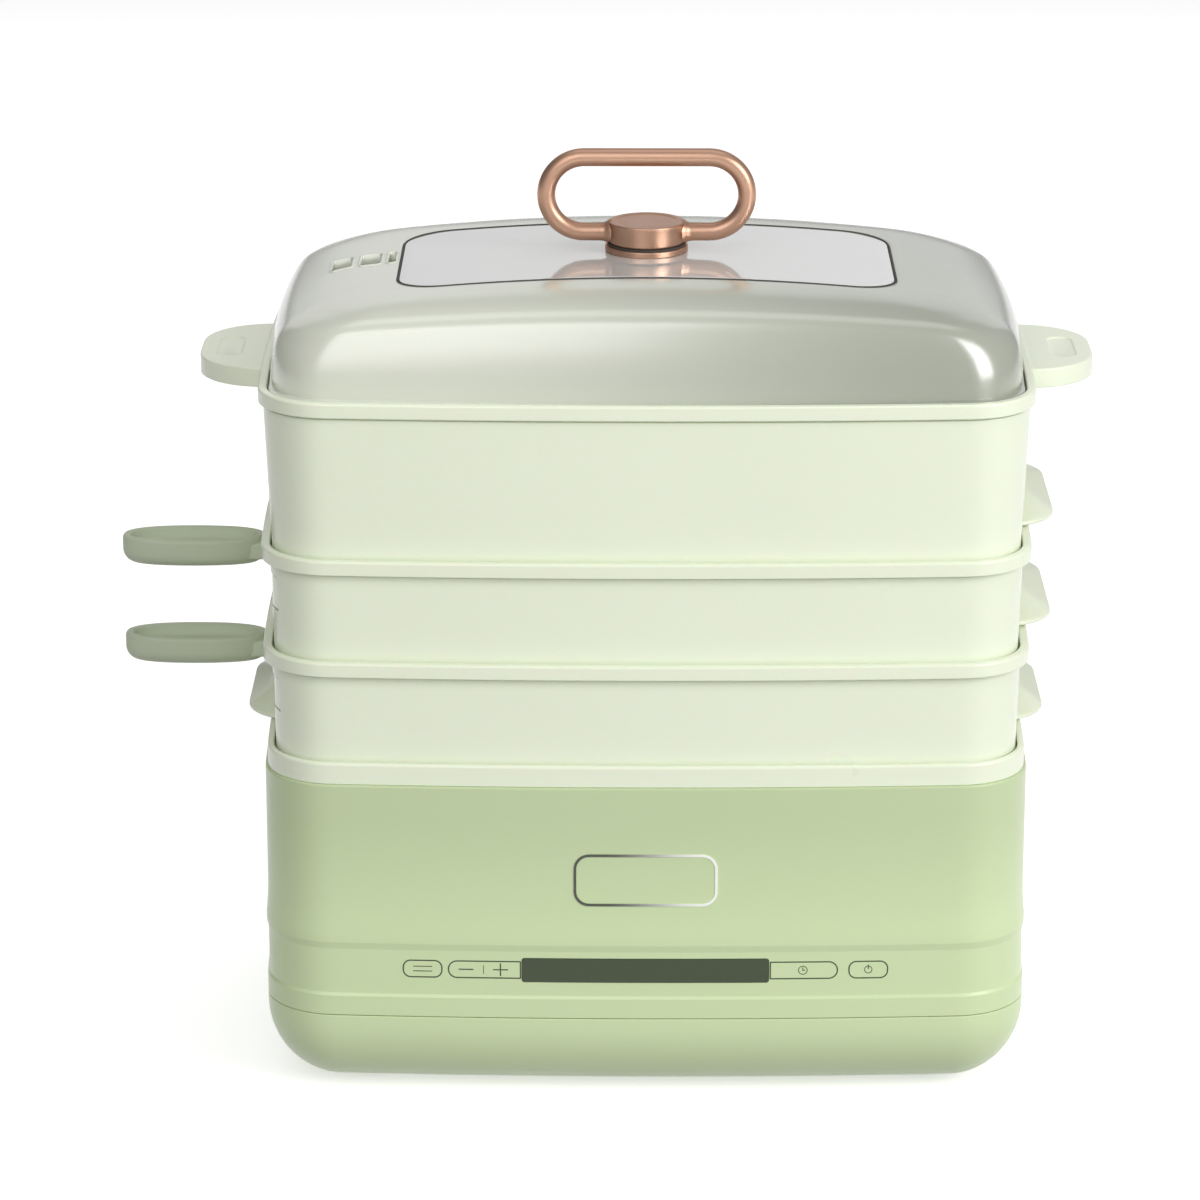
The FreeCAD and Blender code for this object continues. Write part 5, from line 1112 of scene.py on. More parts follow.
    def build_badge(self, wardrobe: Wardrobe) -> None:
        """The plain chrome line of the badge, bare inside; its chrome look is a painted
        reflection, dark at the left and near white at the right.
        """
        box = (-self.badge_half, self.badge_half, self.badge_low, self.badge_high)
        line = self.frame_line("badge_frame", box, [self.badge_corner] * 4, self.badge_line,
                               self.upper_inset, self.badge_height)
        wardrobe.dress(line, "zinc_steel", Body.BASE, CHROME_LINE_PAINTED_REFLECTION)

    def build(self, wardrobe: Wardrobe) -> None:
        """Builds all that the front shows."""
        self.build_keys(wardrobe)
        self.build_display(wardrobe)
        self.build_badge(wardrobe)


@dataclass
class Grip:
    """A low finger grip, hollow from beneath."""

    reach: float
    half_length: float
    corner: float = 0.024
    lip: float = 0.0015
    height: float = 0.007
    top_reach: float = 0.1685
    top_half_length: float = 0.029
    top_corner: float = 0.015
    root: float = 0.1600
    inner_root: float = 0.1657
    roof: float = 0.002
    skin: float = 0.004
    hollow_back: float = 0.016
    hollow_corner: float = 0.008
    edge: float = 0.0004
    steps: int = 6

    @staticmethod
    def tab(side: Side, root: float, reach: float, half_length: float, corner: float,
            level: float) -> Ring:
        """The outline of a tab at a level.

        Args:
            side: The side that it sticks out of.
            root: Where it starts.
            reach: Where it ends.
            half_length: Half its length along the wall.
            corner: The radius of its outer corners.
            level: Its level.

        Returns:
            The ring.
        """
        small = 0.0004
        plan = rounded_rectangle(root, reach, -half_length, half_length,
                                 [small, corner, corner, small], 8, 10)
        return ring_of(plan, level, side.value)

    def build(self, name: str, side: Side, bottom: float) -> bpy.types.Object:
        """Builds the grip.

        Args:
            name: The piece's name.
            side: The side that it is on.
            bottom: The level of its lower edge.

        Returns:
            The grip.
        """
        root, inner_root, edge = self.root, self.inner_root, self.edge
        roof = bottom + self.height - self.roof
        form = RingForm(name, self.tab(side, inner_root, self.top_reach,
                                       self.top_half_length - self.skin, 0.001, roof))
        form.grow(self.tab(side, inner_root, self.reach - self.skin,
                           self.half_length - self.hollow_back, self.hollow_corner, bottom))
        for back, level in ((edge, bottom), (0.0, bottom + edge), (0.0, bottom + self.lip),
                            (edge, bottom + self.lip + 0.0003)):
            form.grow(self.tab(side, root, self.reach - back, self.half_length - back,
                               self.corner - back, level))
        for step in range(1, self.steps + 1):
            share = step / self.steps
            reach = self.reach + (self.top_reach - self.reach) * share
            half = self.half_length + (self.top_half_length - self.half_length) * share
            corner = self.corner + (self.top_corner - self.corner) * share
            level = bottom + self.lip + (self.height - self.lip) * share
            form.grow(self.tab(side, root, reach, half, corner, level))
        return form.finish(math.radians(70))


@dataclass
class Ear:
    """A flat ear at the top tier's rim, hollow from beneath, with a thumb dimple."""

    rim_top: float
    reach: float = 0.1974
    half_length: float = 0.040
    corner: float = 0.030
    thickness: float = 0.0086
    drop: float = 0.0008
    skin: float = 0.0024
    edge: float = 0.0009
    dimple_x: float = 0.1845
    dimple_half_length: float = 0.017
    dimple_half_width: float = 0.0055
    dimple_depth: float = 0.0007
    dimple_turns: tuple[tuple[float, float], ...] = (
        (0.0009, 0.0), (0.0007, 0.0), (0.0003, 0.12), (0.0, 0.4), (-0.0003, 0.85), (-0.0008, 1.0))
    root: float = 0.1612
    inner_root: float = 0.1712

    def build(self, name: str, side: Side) -> bpy.types.Object:
        """Builds the ear.

        Args:
            name: The piece's name.
            side: The side that it is on.

        Returns:
            The ear.
        """
        top = self.rim_top - self.drop
        bottom = top - self.thickness
        root, inner_root, skin = self.root, self.inner_root, self.skin

        def outer(back: float, level: float) -> Ring:
            return Grip.tab(side, root, self.reach - back, self.half_length - back,
                            self.corner - back, level)

        def hollow(level: float) -> Ring:
            return Grip.tab(side, inner_root, self.reach - skin, self.half_length - 2 * skin,
                            self.corner - 3 * skin, level)

        def dimple(grow: float, level: float) -> Ring:
            half_width, half_length = self.dimple_half_width + grow, self.dimple_half_length + grow
            plan = rounded_rectangle(self.dimple_x - half_width, self.dimple_x + half_width,
                                     -half_length, half_length, [half_width * 0.999] * 4, 8, 10)
            return ring_of(plan, level, side.value)

        form = RingForm(name, hollow(top - skin)).grow(hollow(bottom)).grow(outer(0.0003, bottom))
        form.grow(outer(0.0, bottom + 0.0003)).grow(outer(0.0, top - self.edge))
        for step in range(1, 6):
            turn = QUARTER * step / 5
            form.grow(outer(self.edge * (1 - math.cos(turn)),
                            top - self.edge * (1 - math.sin(turn))))
        form.grow(outer(self.edge + 0.0002, top))
        for grow, down in self.dimple_turns:
            form.grow(dimple(grow, top - self.dimple_depth * down))
        return form.finish()


@dataclass
class Tier:
    """One steaming tier: walls, nesting rim, grips, ears or rails."""

    node: str
    body: Body
    rim_top: float
    rise: float
    wall_inset: float
    grip: Grip
    grip_sides: tuple[Side, ...]
    has_pan: bool
    foot_inset: float = 0.0060
    rim_height: float = 0.0064
    shadow_gap: float = 0.0011
    nest: float = 0.005
    wall: float = 0.0024
    lip_inset: float = 0.005
    throat_inset: float = 0.0084
    ledge: float = 0.0025
    grate_seat: float = 0.0058
    seat_thickness: float = 0.003
    rail_reach: float = 0.146
    rail_inner: float = 0.080
    rail_thickness: float = 0.0022
    rail_steps: int = 24
    rim_inset: float = 0.001
    foot_gap: float = 0.0003
    throat_slope: float = 0.0004
    seat_inset: float = 0.012
    tray_drop: float = 0.0146
    flange_thickness: float = 0.001
    rail_gap: float = 0.0003
    grip_gap: float = 0.0008
    slot_half: float = 0.0845
    slot_drop: float = 0.0128
    slot_height: float = 0.0157
    slot_ends: tuple[float, float] = (0.180, 0.1568)

    def profile(self) -> list[Turn]:
        """The wall's profile, round the outside up, over the rim and down the inside.

        Returns:
            Its corners.
        """
        top, low = self.rim_top, self.rim_top - self.rim_height
        foot = self.rim_top - self.rise - self.nest + self.foot_gap
        throat_low = top - self.nest - self.ledge
        turns = [
            Turn(self.foot_inset, foot, 0.0005),
            Turn(self.wall_inset, low - self.shadow_gap, 0.0003),
            Turn(self.wall_inset + self.shadow_gap, low - self.shadow_gap, 0.0002),
            Turn(self.wall_inset + self.shadow_gap, low),
            Turn(self.rim_inset, low, 0.0004),
            Turn(self.rim_inset, top, 0.0011, 6),
            Turn(self.lip_inset, top, 0.0008),
            Turn(self.lip_inset, top - self.nest, 0.0004),
            Turn(self.throat_inset, top - self.nest, 0.0005),
            Turn(self.throat_inset, throat_low, 0.0005),
            Turn(self.wall_inset + self.wall, throat_low - self.throat_slope, 0.0008),
        ]
        if self.has_pan:
            return [*turns, Turn(self.foot_inset + self.wall, foot, 0.0005)]
        seat = foot + self.grate_seat
        under, inside = seat - self.seat_thickness, self.foot_inset + self.wall
        ledge = ((inside, seat), (self.seat_inset, seat), (self.seat_inset, under),
                 (inside, under), (inside, foot))
        return [*turns, *(Turn(inset, level, 0.0005) for inset, level in ledge)]

    def build_rails(self, wardrobe: Wardrobe) -> None:
        """The two rails that the tray's flange runs on."""
        top = self.rim_top - self.tray_drop - self.flange_thickness - self.rail_gap
        reach, steps = self.rail_reach, self.rail_steps
        inset = self.foot_inset + self.wall / 2
        bow = [reach * (2 * step / steps - 1) for step in range(steps + 1)]
        for name, sign in (("front", 1), ("back", -1)):
            plan = [(x, STACK.front_at(x, inset)) for x in bow]
            plan += [(x, -self.rail_inner) for x in reversed(bow)]
            ring = [Vector((CENTRE_X + x, y * sign, top)) for x, y in plan]
            low = [point - Vector((0.0, 0.0, self.rail_thickness)) for point in ring]
            rail = RingForm(f"{self.node}_rail_{name}", low).grow(ring).finish()
            wardrobe.dress(rail, "cream_gloss", self.body)

    def build(self, wardrobe: Wardrobe) -> None:
        """Builds the tier with all that is moulded to it."""
        walls = sweep(f"{self.node}_walls", STACK, self.profile())
        if self.has_pan:
            high = self.rim_top - self.slot_drop
            out, back = self.slot_ends
            slot = block("pan_slot", (CENTRE_X - out, -self.slot_half, high - self.slot_height),
                         (CENTRE_X - back, self.slot_half, high), 0.0008)
            cut(walls, [slot])
            smooth(walls)
            self.build_rails(wardrobe)
        wardrobe.dress(walls, "cream_gloss", self.body)
        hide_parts(self.node)
        bottom = self.rim_top - self.rise + self.grip_gap
        for side in self.grip_sides:
            grip = self.grip.build(f"{self.node}_grip_{side.name.lower()}", side, bottom)
            wardrobe.dress(grip, "cream_gloss", self.body)
        if not self.has_pan:
            for side in Side:
                ear = Ear(self.rim_top).build(f"{self.node}_ear_{side.name.lower()}", side)
                wardrobe.dress(ear, "cream_gloss", self.body)


@dataclass
class PanHandle:
    """The oval grip of a drawer, with its dished top and its neck."""

    node: str
    body: Body
    rim_top: float
    far: float = -0.2354
    near: float = -0.171
    half_width: float = 0.0134
    drop: float = 0.018
    thickness: float = 0.0131
    power: float = 2.35
    edge: float = 0.0064
    rim: float = 0.0024
    dish: float = 0.0046
    dish_slope: float = 0.0046
    dish_floor: float = 0.0105
    lip_turns: tuple[tuple[float, float], ...] = (
        (0.0, 0.0019), (0.0002, 0.0010), (0.0007, 0.0003), (0.0014, 0.0))
    neck_span: tuple[float, float] = (0.180, 0.1632)
    neck_half: float = 0.009
    neck_rounding: float = 0.0012
    neck_bend: float = 0.175
    neck_dip: float = 0.0032
    steps: int = 72

    def oval(self, inset: float, level: float) -> Ring:
        """A full oval, a little squarer than an ellipse.

        Args:
            inset: How far in it lies.
            level: Its level.

        Returns:
            The ring.
        """
        middle = CENTRE_X + (self.far + self.near) / 2
        long, wide = (self.near - self.far) / 2 - inset, self.half_width - inset
        ring = []
        for step in range(self.steps):
            turn = 2 * math.pi * step / self.steps
            c, s = math.cos(turn), math.sin(turn)
            x = math.copysign(abs(c) ** (2 / self.power), c) * long
            y = math.copysign(abs(s) ** (2 / self.power), s) * wide
            ring.append(Vector((middle + x, y, level)))
        return ring

    def build(self, wardrobe: Wardrobe) -> None:
        """Builds the grip and its neck as one piece."""
        top = self.rim_top - self.drop
        bottom = top - self.thickness
        form = RingForm(f"{self.node}_grip", self.oval(self.edge + 0.0008, bottom))
        for step in range(9):
            turn = QUARTER * step / 8
            form.grow(self.oval(self.edge * (1 - math.sin(turn)),
                                bottom + self.edge * (1 - math.cos(turn))))
        for inset, down in self.lip_turns:
            form.grow(self.oval(inset, top - down))
        form.grow(self.oval(self.rim, top))
        for step in range(1, 9):
            share = step / 8
            sink = share * share * (3 - 2 * share)
            inset = self.rim + 0.0002 + self.dish_slope * share
            form.grow(self.oval(inset, top - self.dish * sink))
        form.grow(self.oval(self.dish_floor, top - self.dish))
        grip = form.finish()

        out, back = self.neck_span
        neck = block(f"{self.node}_neck", (CENTRE_X - out, -self.neck_half, bottom + 0.003),
                     (CENTRE_X - back, self.neck_half, top - 0.0003), self.neck_rounding)
        for vertex in neck.data.vertices:
            if vertex.co.x < CENTRE_X - self.neck_bend and vertex.co.z > top - 0.004:
                vertex.co.z -= self.neck_dip
        smooth(neck)
        join([grip, neck])
        wardrobe.dress(grip, "handle_sage", self.body)
        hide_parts(self.node)


@dataclass
class Shutter:
    """The plate that closes a drawer's slot, bowed with the wall round it."""

    node: str
    body: Body
    rim_top: float
    half_length: float = 0.0843
    inset: float = 0.0056
    thickness: float = 0.0018
    drop: float = 0.0133
    height: float = 0.0147
    edge: float = 0.0005
    steps: int = 40

    def ring(self, back: float, level: float) -> Ring:
        """The plate's section at a level, drawn in a little all round.

        Args:
            back: How far it is drawn in.
            level: Its level.

        Returns:
            The ring.
        """
        half = self.half_length - back
        along = [half * (2 * step / self.steps - 1) for step in range(self.steps + 1)]
        plan = [(STACK.left_at(y, self.inset + back), y) for y in along]
        plan += [(STACK.left_at(y, self.inset + self.thickness - back), y)
                 for y in reversed(along)]
        return ring_of(plan, level)

    def build(self, wardrobe: Wardrobe) -> None:
        """Builds the plate."""
        top, edge = self.rim_top - self.drop, self.edge
        bottom = top - self.height
        form = RingForm(f"{self.node}_plate", self.ring(edge, bottom))
        form.grow(self.ring(0.0, bottom + edge)).grow(self.ring(0.0, top - edge))
        plate = form.grow(self.ring(edge, top)).finish()
        wardrobe.dress(plate, "cream_gloss", self.body)
        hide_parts(self.node)


@dataclass
class Lid:
    """The domed lid: smoked shell with painted light and shade across it, flange, window in its
    groove and steam vents.
    """

    base: float = 0.3204
    rise: float = 0.0479
    arch: float = 0.8
    half_width: float = 0.1642
    half_depth: float = 0.1012
    corner: float = 0.028
    crown_top: float = 0.3641
    crown_radius: float = 1.05
    wall: float = 0.0017
    shoulder: float = 0.0085
    front_before: float = 0.014
    front_after: float = 0.026
    window_half_width: float = 0.108
    window_half_depth: float = 0.052
    window_corner: float = 0.020
    groove: float = 0.0012
    bed: float = 0.0017
    vent_spans: tuple[tuple[float, float], ...] = (
        (-0.1396, -0.1306), (-0.1269, -0.1176), (-0.1146, -0.1110))
    vent_front: float = -0.001
    vent_back: float = 0.0185
    vent_corner: float = 0.0015
    vent_turns: tuple[tuple[float, float], ...] = (
        (0.0012, -0.0002), (0.0009, 0.0003), (0.0005, 0.00055), (0.0001, 0.0005),
        (-0.0002, 0.0001), (-0.0002, -0.0055), (0.0003, -0.0055))
    flange_height: float = 0.0041
    pane: float = 0.0016
    pane_shares: tuple[float, ...] = (0.96, 0.8, 0.6, 0.4, 0.2, 0.05)
    pane_edge: tuple[tuple[float, float], ...] = (
        (-0.0002, 0.0016), (0.0, 0.0014), (0.0, 0.0004), (-0.00015, 0.0001), (-0.0005, 0.0))
    seal_and_shade_turns: tuple[tuple[float, float], ...] = (
        (0.00005, 0.0016), (0.00005, 0.0002), (0.0006, -0.0003), (0.00115, 0.0002),
        (0.00115, 0.0016))
    bed_shares: tuple[float, ...] = (0.94, 0.8, 0.6, 0.4, 0.2, 0.05)
    dome_smooth: float = math.radians(50)
    sections: tuple[tuple[float, float, float, float], ...] = (
        (0.0, 1.0, 1.0, 0.96),
        (0.24, 1.0, 0.984, 1.0),
        (0.45, 0.990, 0.963, 1.04),
        (0.62, 0.967, 0.940, 1.07),
        (0.70, 0.948, 0.924, 1.09),
        (0.77, 0.918, 0.894, 1.11),
        (0.82, 0.885, 0.838, 1.12),
        (0.92, 0.800, 0.700, 1.00),
        (1.06, 0.665, 0.515, 0.71),
    )

    def barrel(self, wide: float, deep: float, corner: float, bow: float = 0.5) -> Barrel:
        """An outline of the lid, with the same number of points as every other.

        Args:
            wide: Half its width.
            deep: Half its depth.
            corner: Its corner radius.
            bow: Share of the stack's bow radii.

        Returns:
            The outline.
        """
        return Barrel(wide, deep, corner, 2.3 * bow, 1.9 * bow, 28, 18, 12)

    def crown(self, x: float) -> float:
        """Level of the crown at a place across the lid, from the row's middle."""
        return self.crown_top - self.crown_radius + math.sqrt(
            self.crown_radius**2 - (x - CENTRE_X) ** 2)

    def wall_level(self, x: float, up: float) -> float:
        """Level of the wall, whose crest arches like the crown but less.

        Args:
            x: The place across the lid, from the row's middle.
            up: The section's share of the rise.

        Returns:
            The level.
        """
        share = min(up / 0.8, 1.0) ** 1.5
        return self.base + self.rise * up - self.arch * share * (self.crown_top - self.crown(x))

    def window_ring(self, grow: float, down: float, share: float = 1.0) -> Ring:
        """The window's outline on the crown.

        Args:
            grow: How far it is moved out.
            down: How far it lies under the crown.
            share: Its size as a share, to draw it in to the middle.

        Returns:
            The ring.
        """
        shape = self.barrel(self.window_half_width + grow, self.window_half_depth + grow,
                            self.window_corner + grow, 20.0)
        ring = []
        for x, y in shape.plan():
            place = CENTRE_X + x * share
            ring.append(Vector((place, y * share, self.crown(place) - down)))
        return ring

    def rib(self, wall: Sequence[Vector], goal: Vector) -> Ring:
        """One line from the lid's foot, over the shoulder, to the window's edge.

        Args:
            wall: The places of the line at each section.
            goal: Its end at the window.

        Returns:
            Points along the line.
        """
        def at(t: float) -> Vector:
            index = min(int(t), len(wall) - 2)
            share = t - index
            p0 = wall[max(index - 1, 0)]
            p1, p2 = wall[index], wall[index + 1]
            p3 = wall[min(index + 2, len(wall) - 1)]
            return 0.5 * (2 * p1 + (p2 - p0) * share
                          + (2 * p0 - 5 * p1 + 4 * p2 - p3) * share**2
                          + (3 * p1 - p0 - 3 * p2 + p3) * share**3)

        low, high = 3.0, float(len(wall) - 1)
        for _ in range(30):
            middle = (low + high) / 2
            point = at(middle)
            if point.z < self.crown(point.x):
                low = middle
            else:
                high = middle
        line = [at(low * step / 80) for step in range(81)]
        corner = line[-1]
        for step in range(1, 41):
            point = corner.lerp(goal, step / 40)
            point.z = self.crown(point.x)
            line.append(point)
        way = goal - wall[0]
        front = abs(way.y) / math.hypot(way.x, way.y)
        return self.resampled(self.eased(line, 80, front))

    def eased(self, line: Ring, corner: int, front: float) -> Ring:
        """Rounds the shoulder of a line, more softly in front and behind than at the ends.

        Args:
            line: The line's points.
            corner: The index of its corner.
            front: 1 where the line runs from front to back and 0 where it runs across.

        Returns:
            The line with a curve in the corner's place.
        """
        before = self.shoulder + (self.front_before - self.shoulder) * front
        after = self.shoulder + (self.front_after - self.shoulder) * front
        start, end = corner, corner
        while start > 0 and (line[start] - line[corner]).length < before:
            start -= 1
        while end < len(line) - 1 and (line[end] - line[corner]).length < after:
            end += 1
        a, b, c = line[start], line[corner], line[end]
        curve = [a.lerp(b, s / 12).lerp(b.lerp(c, s / 12), s / 12) for s in range(13)]
        return line[:start] + curve + line[end + 1:]

    @staticmethod
    def resampled(line: Ring, count: int = 44) -> Ring:
        """Spreads a set number of points evenly along a line."""
        gaps = [(b - a).length for a, b in zip(line, line[1:])]
        total, done, index = sum(gaps), 0.0, 0
        points = [line[0]]
        for step in range(1, count):
            goal = total * step / count
            while done + gaps[index] < goal:
                done += gaps[index]
                index += 1
            points.append(line[index].lerp(line[index + 1], (goal - done) / gaps[index]))
        return [*points, line[-1]]

    def build_shell(self, wardrobe: Wardrobe) -> bpy.types.Object:
        """The domed shell with the window's bed, hollowed and vented.

        Returns:
            The shell.
        """
        levels = []
        for up, wide, deep, turn in self.sections:
            shape = self.barrel(self.half_width * wide, self.half_depth * deep,
                                self.corner * turn)
            levels.append([Vector((x + CENTRE_X, y, self.wall_level(x + CENTRE_X, up)))
                           for x, y in shape.plan()])
        edge = self.window_ring(self.groove, 0.0)
        ribs = [self.rib([level[i] for level in levels], edge[i]) for i in range(len(edge))]
        rings = [[rib[k] for rib in ribs] for k in range(len(ribs[0]))]
        form = RingForm("lid_dome", rings[0], capped=False).grow_all(rings[1:-1])
        form.grow(self.window_ring(self.groove + 0.0003, 0.00002))
        form.grow(self.window_ring(self.groove, 0.0003))
        for share in (1.0, *self.bed_shares):
            form.grow(self.window_ring(self.groove, self.bed, share))
        bpy.ops.mesh.edge_face_add()
        dome = form.finish(self.dome_smooth)
        apply_modifier(dome, "SOLIDIFY", thickness=self.wall, offset=-1.0)
        rims = [self.vent_rim(index, span, dome) for index, span in enumerate(self.vent_spans)]
        cut(dome, [
            block(f"vent_{index}", (CENTRE_X + left, self.vent_front, self.base + 0.02),
                  (CENTRE_X + right, self.vent_back, self.crown_top + 0.014), 0.0014, 4)
            for index, (left, right) in enumerate(self.vent_spans)])
        smooth(dome, self.dome_smooth)
        wardrobe.dress(dome, "lid_smoke", Body.LID)
        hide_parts("lid_shell")
        for rim in rims:
            wardrobe.dress(rim, "lid_smoke", Body.LID)
        return dome

    def vent_rim(self, index: int, span: tuple[float, float], dome: bpy.types.Object
                 ) -> bpy.types.Object:
        """The raised edge of one vent, laid on the dome.

        Args:
            index: The vent's number.
            span: Its left and right sides across the lid.
            dome: The shell that it lies on.

        Returns:
            The edge.
        """
        def laid(grow: float, up: float) -> Ring:
            radii = [self.vent_corner + grow] * 4
            plan = rounded_rectangle(span[0] - grow, span[1] + grow, self.vent_front - grow,
                                     self.vent_back + grow, radii, 4, 5)
            ring = []
            for x, y in plan:
                start = Vector((CENTRE_X + x, y, 0.5))
                _, spot, _, _ = dome.ray_cast(start, Vector((0, 0, -1)))
                ring.append(Vector((start.x, y, spot.z + up)))
            return ring

        rings = [laid(grow, up) for grow, up in self.vent_turns]
        form = RingForm(f"lid_vent_rim_{index + 1}", rings[0], capped=False).grow_all(rings[1:])
        return form.close().finish(math.radians(60))

    def build_flange(self, wardrobe: Wardrobe) -> None:
        """The flange that lies in the top tier's rim."""
        def outer(inset: float, level: float) -> Ring:
            shape = self.barrel(STACK.half_width, STACK.half_depth, STACK.corner, 1.0)
            return shape.ring(inset, level)

        def inner(back: float, level: float) -> Ring:
            shape = self.barrel(self.half_width - back, self.half_depth - back,
                                self.corner * 0.96 - back)
            return shape.ring(0.0, level)

        low, high = self.base - self.flange_height, self.base
        outside = ((0.0058, low), (0.0055, low + 0.0003), (0.0055, high - 0.0008),
                   (0.0057, high - 0.0003), (0.0062, high))
        inside = ((-0.0008, high), (-0.0002, high + 0.0001), (0.0017, high),
                  (0.0024, high - 0.001), (0.0024, low))
        rings = [outer(*turn) for turn in outside] + [inner(*turn) for turn in inside]
        form = RingForm("lid_flange", rings[0], capped=False).grow_all(rings[1:])
        flange = form.close().finish()
        wardrobe.dress(flange, "lid_smoke", Body.LID)

    def build_window(self, wardrobe: Wardrobe) -> None:
        """The clear panel on the crown and the dark seal in its groove, whose dark colour is
        painted shade for the groove.
        """
        rings = [self.window_ring(0.0, self.pane, share) for share in reversed(self.pane_shares)]
        rings += [self.window_ring(*turn) for turn in self.pane_edge]
        rings += [self.window_ring(0.0, 0.0, share) for share in self.pane_shares]
        form = RingForm("window_pane", rings[0]).grow_all(rings[1:])
        pane = form.finish()
        wardrobe.dress(pane, "window_glass", Body.LID)
        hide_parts("window_panel")

        # The seal's dark colour paints the shade of the window's groove.
        rings = [self.window_ring(*turn) for turn in self.seal_and_shade_turns]
        form = RingForm("window_seal_painted_shade", rings[0], capped=False).grow_all(rings[1:])
        wardrobe.dress(form.close().finish(), "silicone", Body.LID)

    def build(self, wardrobe: Wardrobe) -> None:
        """Builds the lid without its grip."""
        self.build_shell(wardrobe)
        self.build_flange(wardrobe)
        self.build_window(wardrobe)


@dataclass
class LidGrip:
    """The copper loop, the knob that holds it and the ring beneath."""

    base_level: float = 0.3641
    base_radius: float = 0.0183
    base_height: float = 0.0026
    gasket_height: float = 0.0009
    knob_radius: float = 0.0169
    knob_height: float = 0.0096
    bar_level: float = 0.3722
    bar_radius: float = 0.004
    loop_width: float = 0.0965
    loop_height: float = 0.0414
    bend_steps: int = 28
    bar_steps: int = 28
    collar_turns: tuple[tuple[float, float], ...] = (
        (0.0, 0.0018), (0.0014, 0.0014), (0.0022, 0.0007), (0.0034, 0.0002), (0.0048, 0.00003),
        (0.0049, -0.0002))
    collar_sink: float = 0.0014
    core: float = 0.004

    def build_loop(self, wardrobe: Wardrobe) -> None:
        """The oval ring bent from round bar."""
        bend = (self.loop_height - 2 * self.bar_radius) / 2
        half = self.loop_width / 2 - self.bar_radius - bend
        middle = self.bar_level + bend
        places: list[tuple[Vector, float]] = []
        for sign, start in ((1, -QUARTER), (-1, QUARTER)):
            for step in range(self.bend_steps + 1):
                turn = start + math.pi * step / self.bend_steps
                centre = Vector((CENTRE_X + half * sign + bend * math.cos(turn), 0.0,
                                 middle + bend * math.sin(turn)))
                places.append((centre, turn))
        rings = [circle_ring(centre, Vector((math.cos(turn), 0, math.sin(turn))),
                             Vector((0, 1, 0)), self.bar_radius, self.bar_steps)
                 for centre, turn in places]
        loop = RingForm("loop_bar", rings[0], capped=False).grow_all(rings[1:]).close().finish()
        wardrobe.dress(loop, "rose_copper", Body.LID)
        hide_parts("lid_loop")

    def build_knob(self, wardrobe: Wardrobe) -> None:
        """The knob, waisted a little, with a collar where each end of the bar enters."""
        low = self.base_level + self.base_height + self.gasket_height
        high = low + self.knob_height
        radius = self.knob_radius
        knob = turned("knob_body", [
            Turn(self.core, low),
            Turn(radius - 0.0006, low, 0.0004),
            Turn(radius - 0.0001, low + 0.0012),
            Turn(radius - 0.0006, low + 0.0042),
            Turn(radius - 0.0002, high - 0.0022, 0.0006),
            Turn(radius, high - 0.0012),
            Turn(radius - 0.0002, high, 0.0010, 6),
            Turn(0.0135, high + 0.00002),
            Turn(0.013, high - 0.00025, 0.0002),
            Turn(self.core, high - 0.0003),
        ])
        wardrobe.dress(knob, "rose_copper", Body.LID)
        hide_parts("knob")
        for side in Side:
            start = CENTRE_X + (radius - self.collar_sink) * side.value
            rings = []
            for out, grow in self.collar_turns:
                centre = Vector((start + out * side.value, 0.0, self.bar_level))
                rings.append(circle_ring(centre, Vector((0, 1, 0)), Vector((0, 0, 1)),
                                         self.bar_radius + grow, 32))
            collar = RingForm(f"bar_collar_{side.name.lower()}", rings[0])
            piece = collar.grow_all(rings[1:]).finish()
            wardrobe.dress(piece, "rose_copper", Body.LID)

    def build_seat(self, wardrobe: Wardrobe) -> None:
        """The copper ring that the knob stands on."""
        low = self.base_level
        high = low + self.base_height
        ring = turned("knob_seat", [
            Turn(self.core, low), Turn(self.base_radius, low, 0.0003),
            Turn(self.base_radius, high, 0.0006, 6), Turn(self.core, high)])
        wardrobe.dress(ring, "rose_copper", Body.LID)
        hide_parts("knob_base_ring")

    def build(self, wardrobe: Wardrobe) -> None:
        """Builds the whole grip."""
        self.build_loop(wardrobe)
        self.build_knob(wardrobe)
        self.build_seat(wardrobe)


@dataclass(frozen=True)
class SoftLight:
    """A broad lamp that faces the stack: its place, width and height, and power."""

    name: str
    place: tuple[float, float, float]
    size: tuple[float, float]
    power: float

    def add(self) -> None:
        """Hangs the lamp."""
        data = bpy.data.lights.new(self.name, "AREA")
        data.shape = "RECTANGLE"
        data.size, data.size_y = self.size
        data.energy = self.power
        light = bpy.data.objects.new(self.name, data)
        light.location = self.place
        aim = Vector(LAMP_AIM) - Vector(self.place)
        light.rotation_euler = aim.to_track_quat("-Z", "Y").to_euler()
        bpy.context.scene.collection.objects.link(light)


LAMP_AIM = (CENTRE_X, 0.0, 0.18)
LAMPS = (
    SoftLight("Key", (1.62, -1.36, 1.1), (1.0, 1.2), 27.0),
    SoftLight("Pane", (-0.60, -1.95, 1.65), (1.6, 1.8), 18.0),
    SoftLight("Back", (0.0, 2.2, 1.1), (3.0, 1.2), 6.0),
    SoftLight("Top", (0.1, 0.3, 1.9), (1.6, 1.0), 4.0),
)


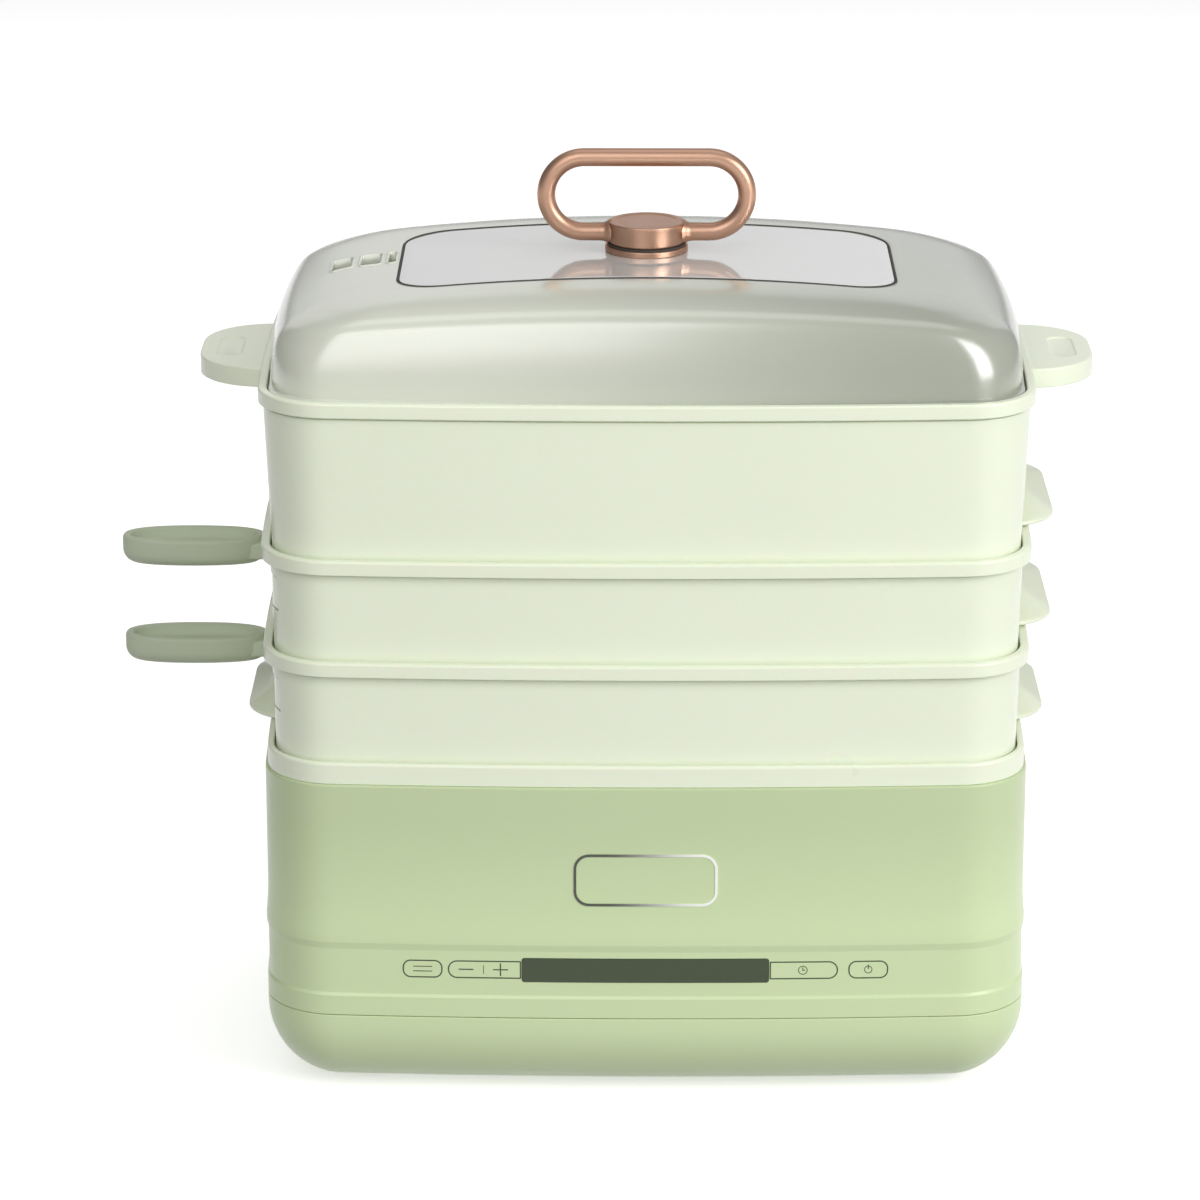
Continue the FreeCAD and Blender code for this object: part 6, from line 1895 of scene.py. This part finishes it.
@dataclass
class Studio:
    """Camera, soft lights and the pale floor."""

    elevation: float = math.radians(17.52084)
    azimuth: float = math.radians(0.32259)
    distance: float = 2.2
    aim: tuple[float, float, float] = (-0.0015496, 0.0, 0.201582)
    lens: float = 146.0329
    sensor: float = 36.0
    clip_end: float = 50.0
    floor_size: float = 14.0
    floor_back: float = 3.0
    bright_side: tuple[float, float, float] = (0.75, -0.55, 0.5)
    glow: tuple[float, float] = (0.14, 0.52)

    def place_camera(self) -> None:
        """Puts the camera where the photograph was taken from."""
        c, s = math.cos(self.elevation), math.sin(self.elevation)
        back = Vector((math.sin(self.azimuth) * c, -math.cos(self.azimuth) * c, s))
        right = Vector((math.cos(self.azimuth), math.sin(self.azimuth), 0.0))
        up = back.cross(right)
        place = Matrix((right, up, back)).transposed().to_4x4()
        place.translation = Vector(self.aim) + back * self.distance
        data = bpy.data.cameras.new("Camera")
        data.sensor_width = self.sensor
        data.lens = self.lens
        data.clip_end = self.clip_end
        camera = bpy.data.objects.new("Camera", data)
        camera.matrix_world = place
        bpy.context.scene.collection.objects.link(camera)
        bpy.context.scene.camera = camera

    def set_stage(self, wardrobe: Wardrobe) -> None:
        """Lays the floor and sets the even light all round."""
        clear_selection()
        bpy.ops.mesh.primitive_plane_add(size=self.floor_size,
                                         location=(0.0, self.floor_back, 0.0))
        floor = bpy.context.object
        rename(floor, "stage_floor")
        bpy.ops.object.transform_apply(location=True, rotation=False, scale=False)
        floor.data.materials.append(wardrobe.material(PALE_STAGE))
        floor.visible_diffuse = False
        bpy.context.scene.world = self.world()

    def world(self) -> bpy.types.World:
        """The even light all round, a little stronger from the right and above."""
        world = bpy.data.worlds.new("Studio")
        world.use_nodes = True
        tree = world.node_tree
        background = tree.nodes["Background"]
        background.inputs["Color"].default_value = WHITE
        place = tree.nodes.new("ShaderNodeTexCoord")
        share = tree.nodes.new("ShaderNodeVectorMath")
        share.operation = "DOT_PRODUCT"
        share.inputs[1].default_value = Vector(self.bright_side).normalized()
        span = tree.nodes.new("ShaderNodeMapRange")
        span.inputs["From Min"].default_value = -1.0
        span.inputs["To Min"].default_value, span.inputs["To Max"].default_value = self.glow
        tree.links.new(place.outputs["Generated"], share.inputs[0])
        tree.links.new(share.outputs["Value"], span.inputs["Value"])
        tree.links.new(span.outputs["Result"], background.inputs["Strength"])
        return world

    def build(self, wardrobe: Wardrobe) -> None:
        """Sets up the whole studio."""
        self.set_stage(wardrobe)
        self.place_camera()
        for lamp in LAMPS:
            lamp.add()
        bpy.context.scene.view_settings.view_transform = "Standard"


def tiers() -> list[Tier]:
    """The three tiers, from the lowest up."""
    low_grip = Grip(reach=0.1782, half_length=0.047)
    tall_grip = Grip(reach=0.1802, half_length=0.052)
    both = (Side.LEFT, Side.RIGHT)
    return [
        Tier("tier_3_frame", Body.TIER_3, RIM_3, DRAWER_RISE, 0.0048, low_grip, both, True),
        Tier("tier_2_frame", Body.TIER_2, RIM_2, DRAWER_RISE, 0.0048, tall_grip,
             (Side.RIGHT,), True),
        Tier("tier_1_frame", Body.TIER_1, RIM_1, TALL_RISE, 0.0032, tall_grip,
             (Side.RIGHT,), False),
    ]


def main() -> None:
    """Builds every sub-assembly in order."""
    logging.basicConfig(level=logging.INFO, format="%(name)s: %(message)s")
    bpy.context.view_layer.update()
    wardrobe = Wardrobe()
    wardrobe.dress_nodes()
    assemblies = [
        Housing(), ControlFront(), *tiers(),
        PanHandle("upper_pan_handle", Body.UPPER_PAN, RIM_2),
        PanHandle("lower_pan_handle", Body.LOWER_PAN, RIM_3),
        Shutter("upper_pan_shutter", Body.UPPER_PAN, RIM_2),
        Shutter("lower_pan_shutter", Body.LOWER_PAN, RIM_3),
        Lid(), LidGrip(), Studio(),
    ]
    for assembly in assemblies:
        assembly.build(wardrobe)
        LOG.info("built %s", type(assembly).__name__)


if __name__ == "__main__":
    main()
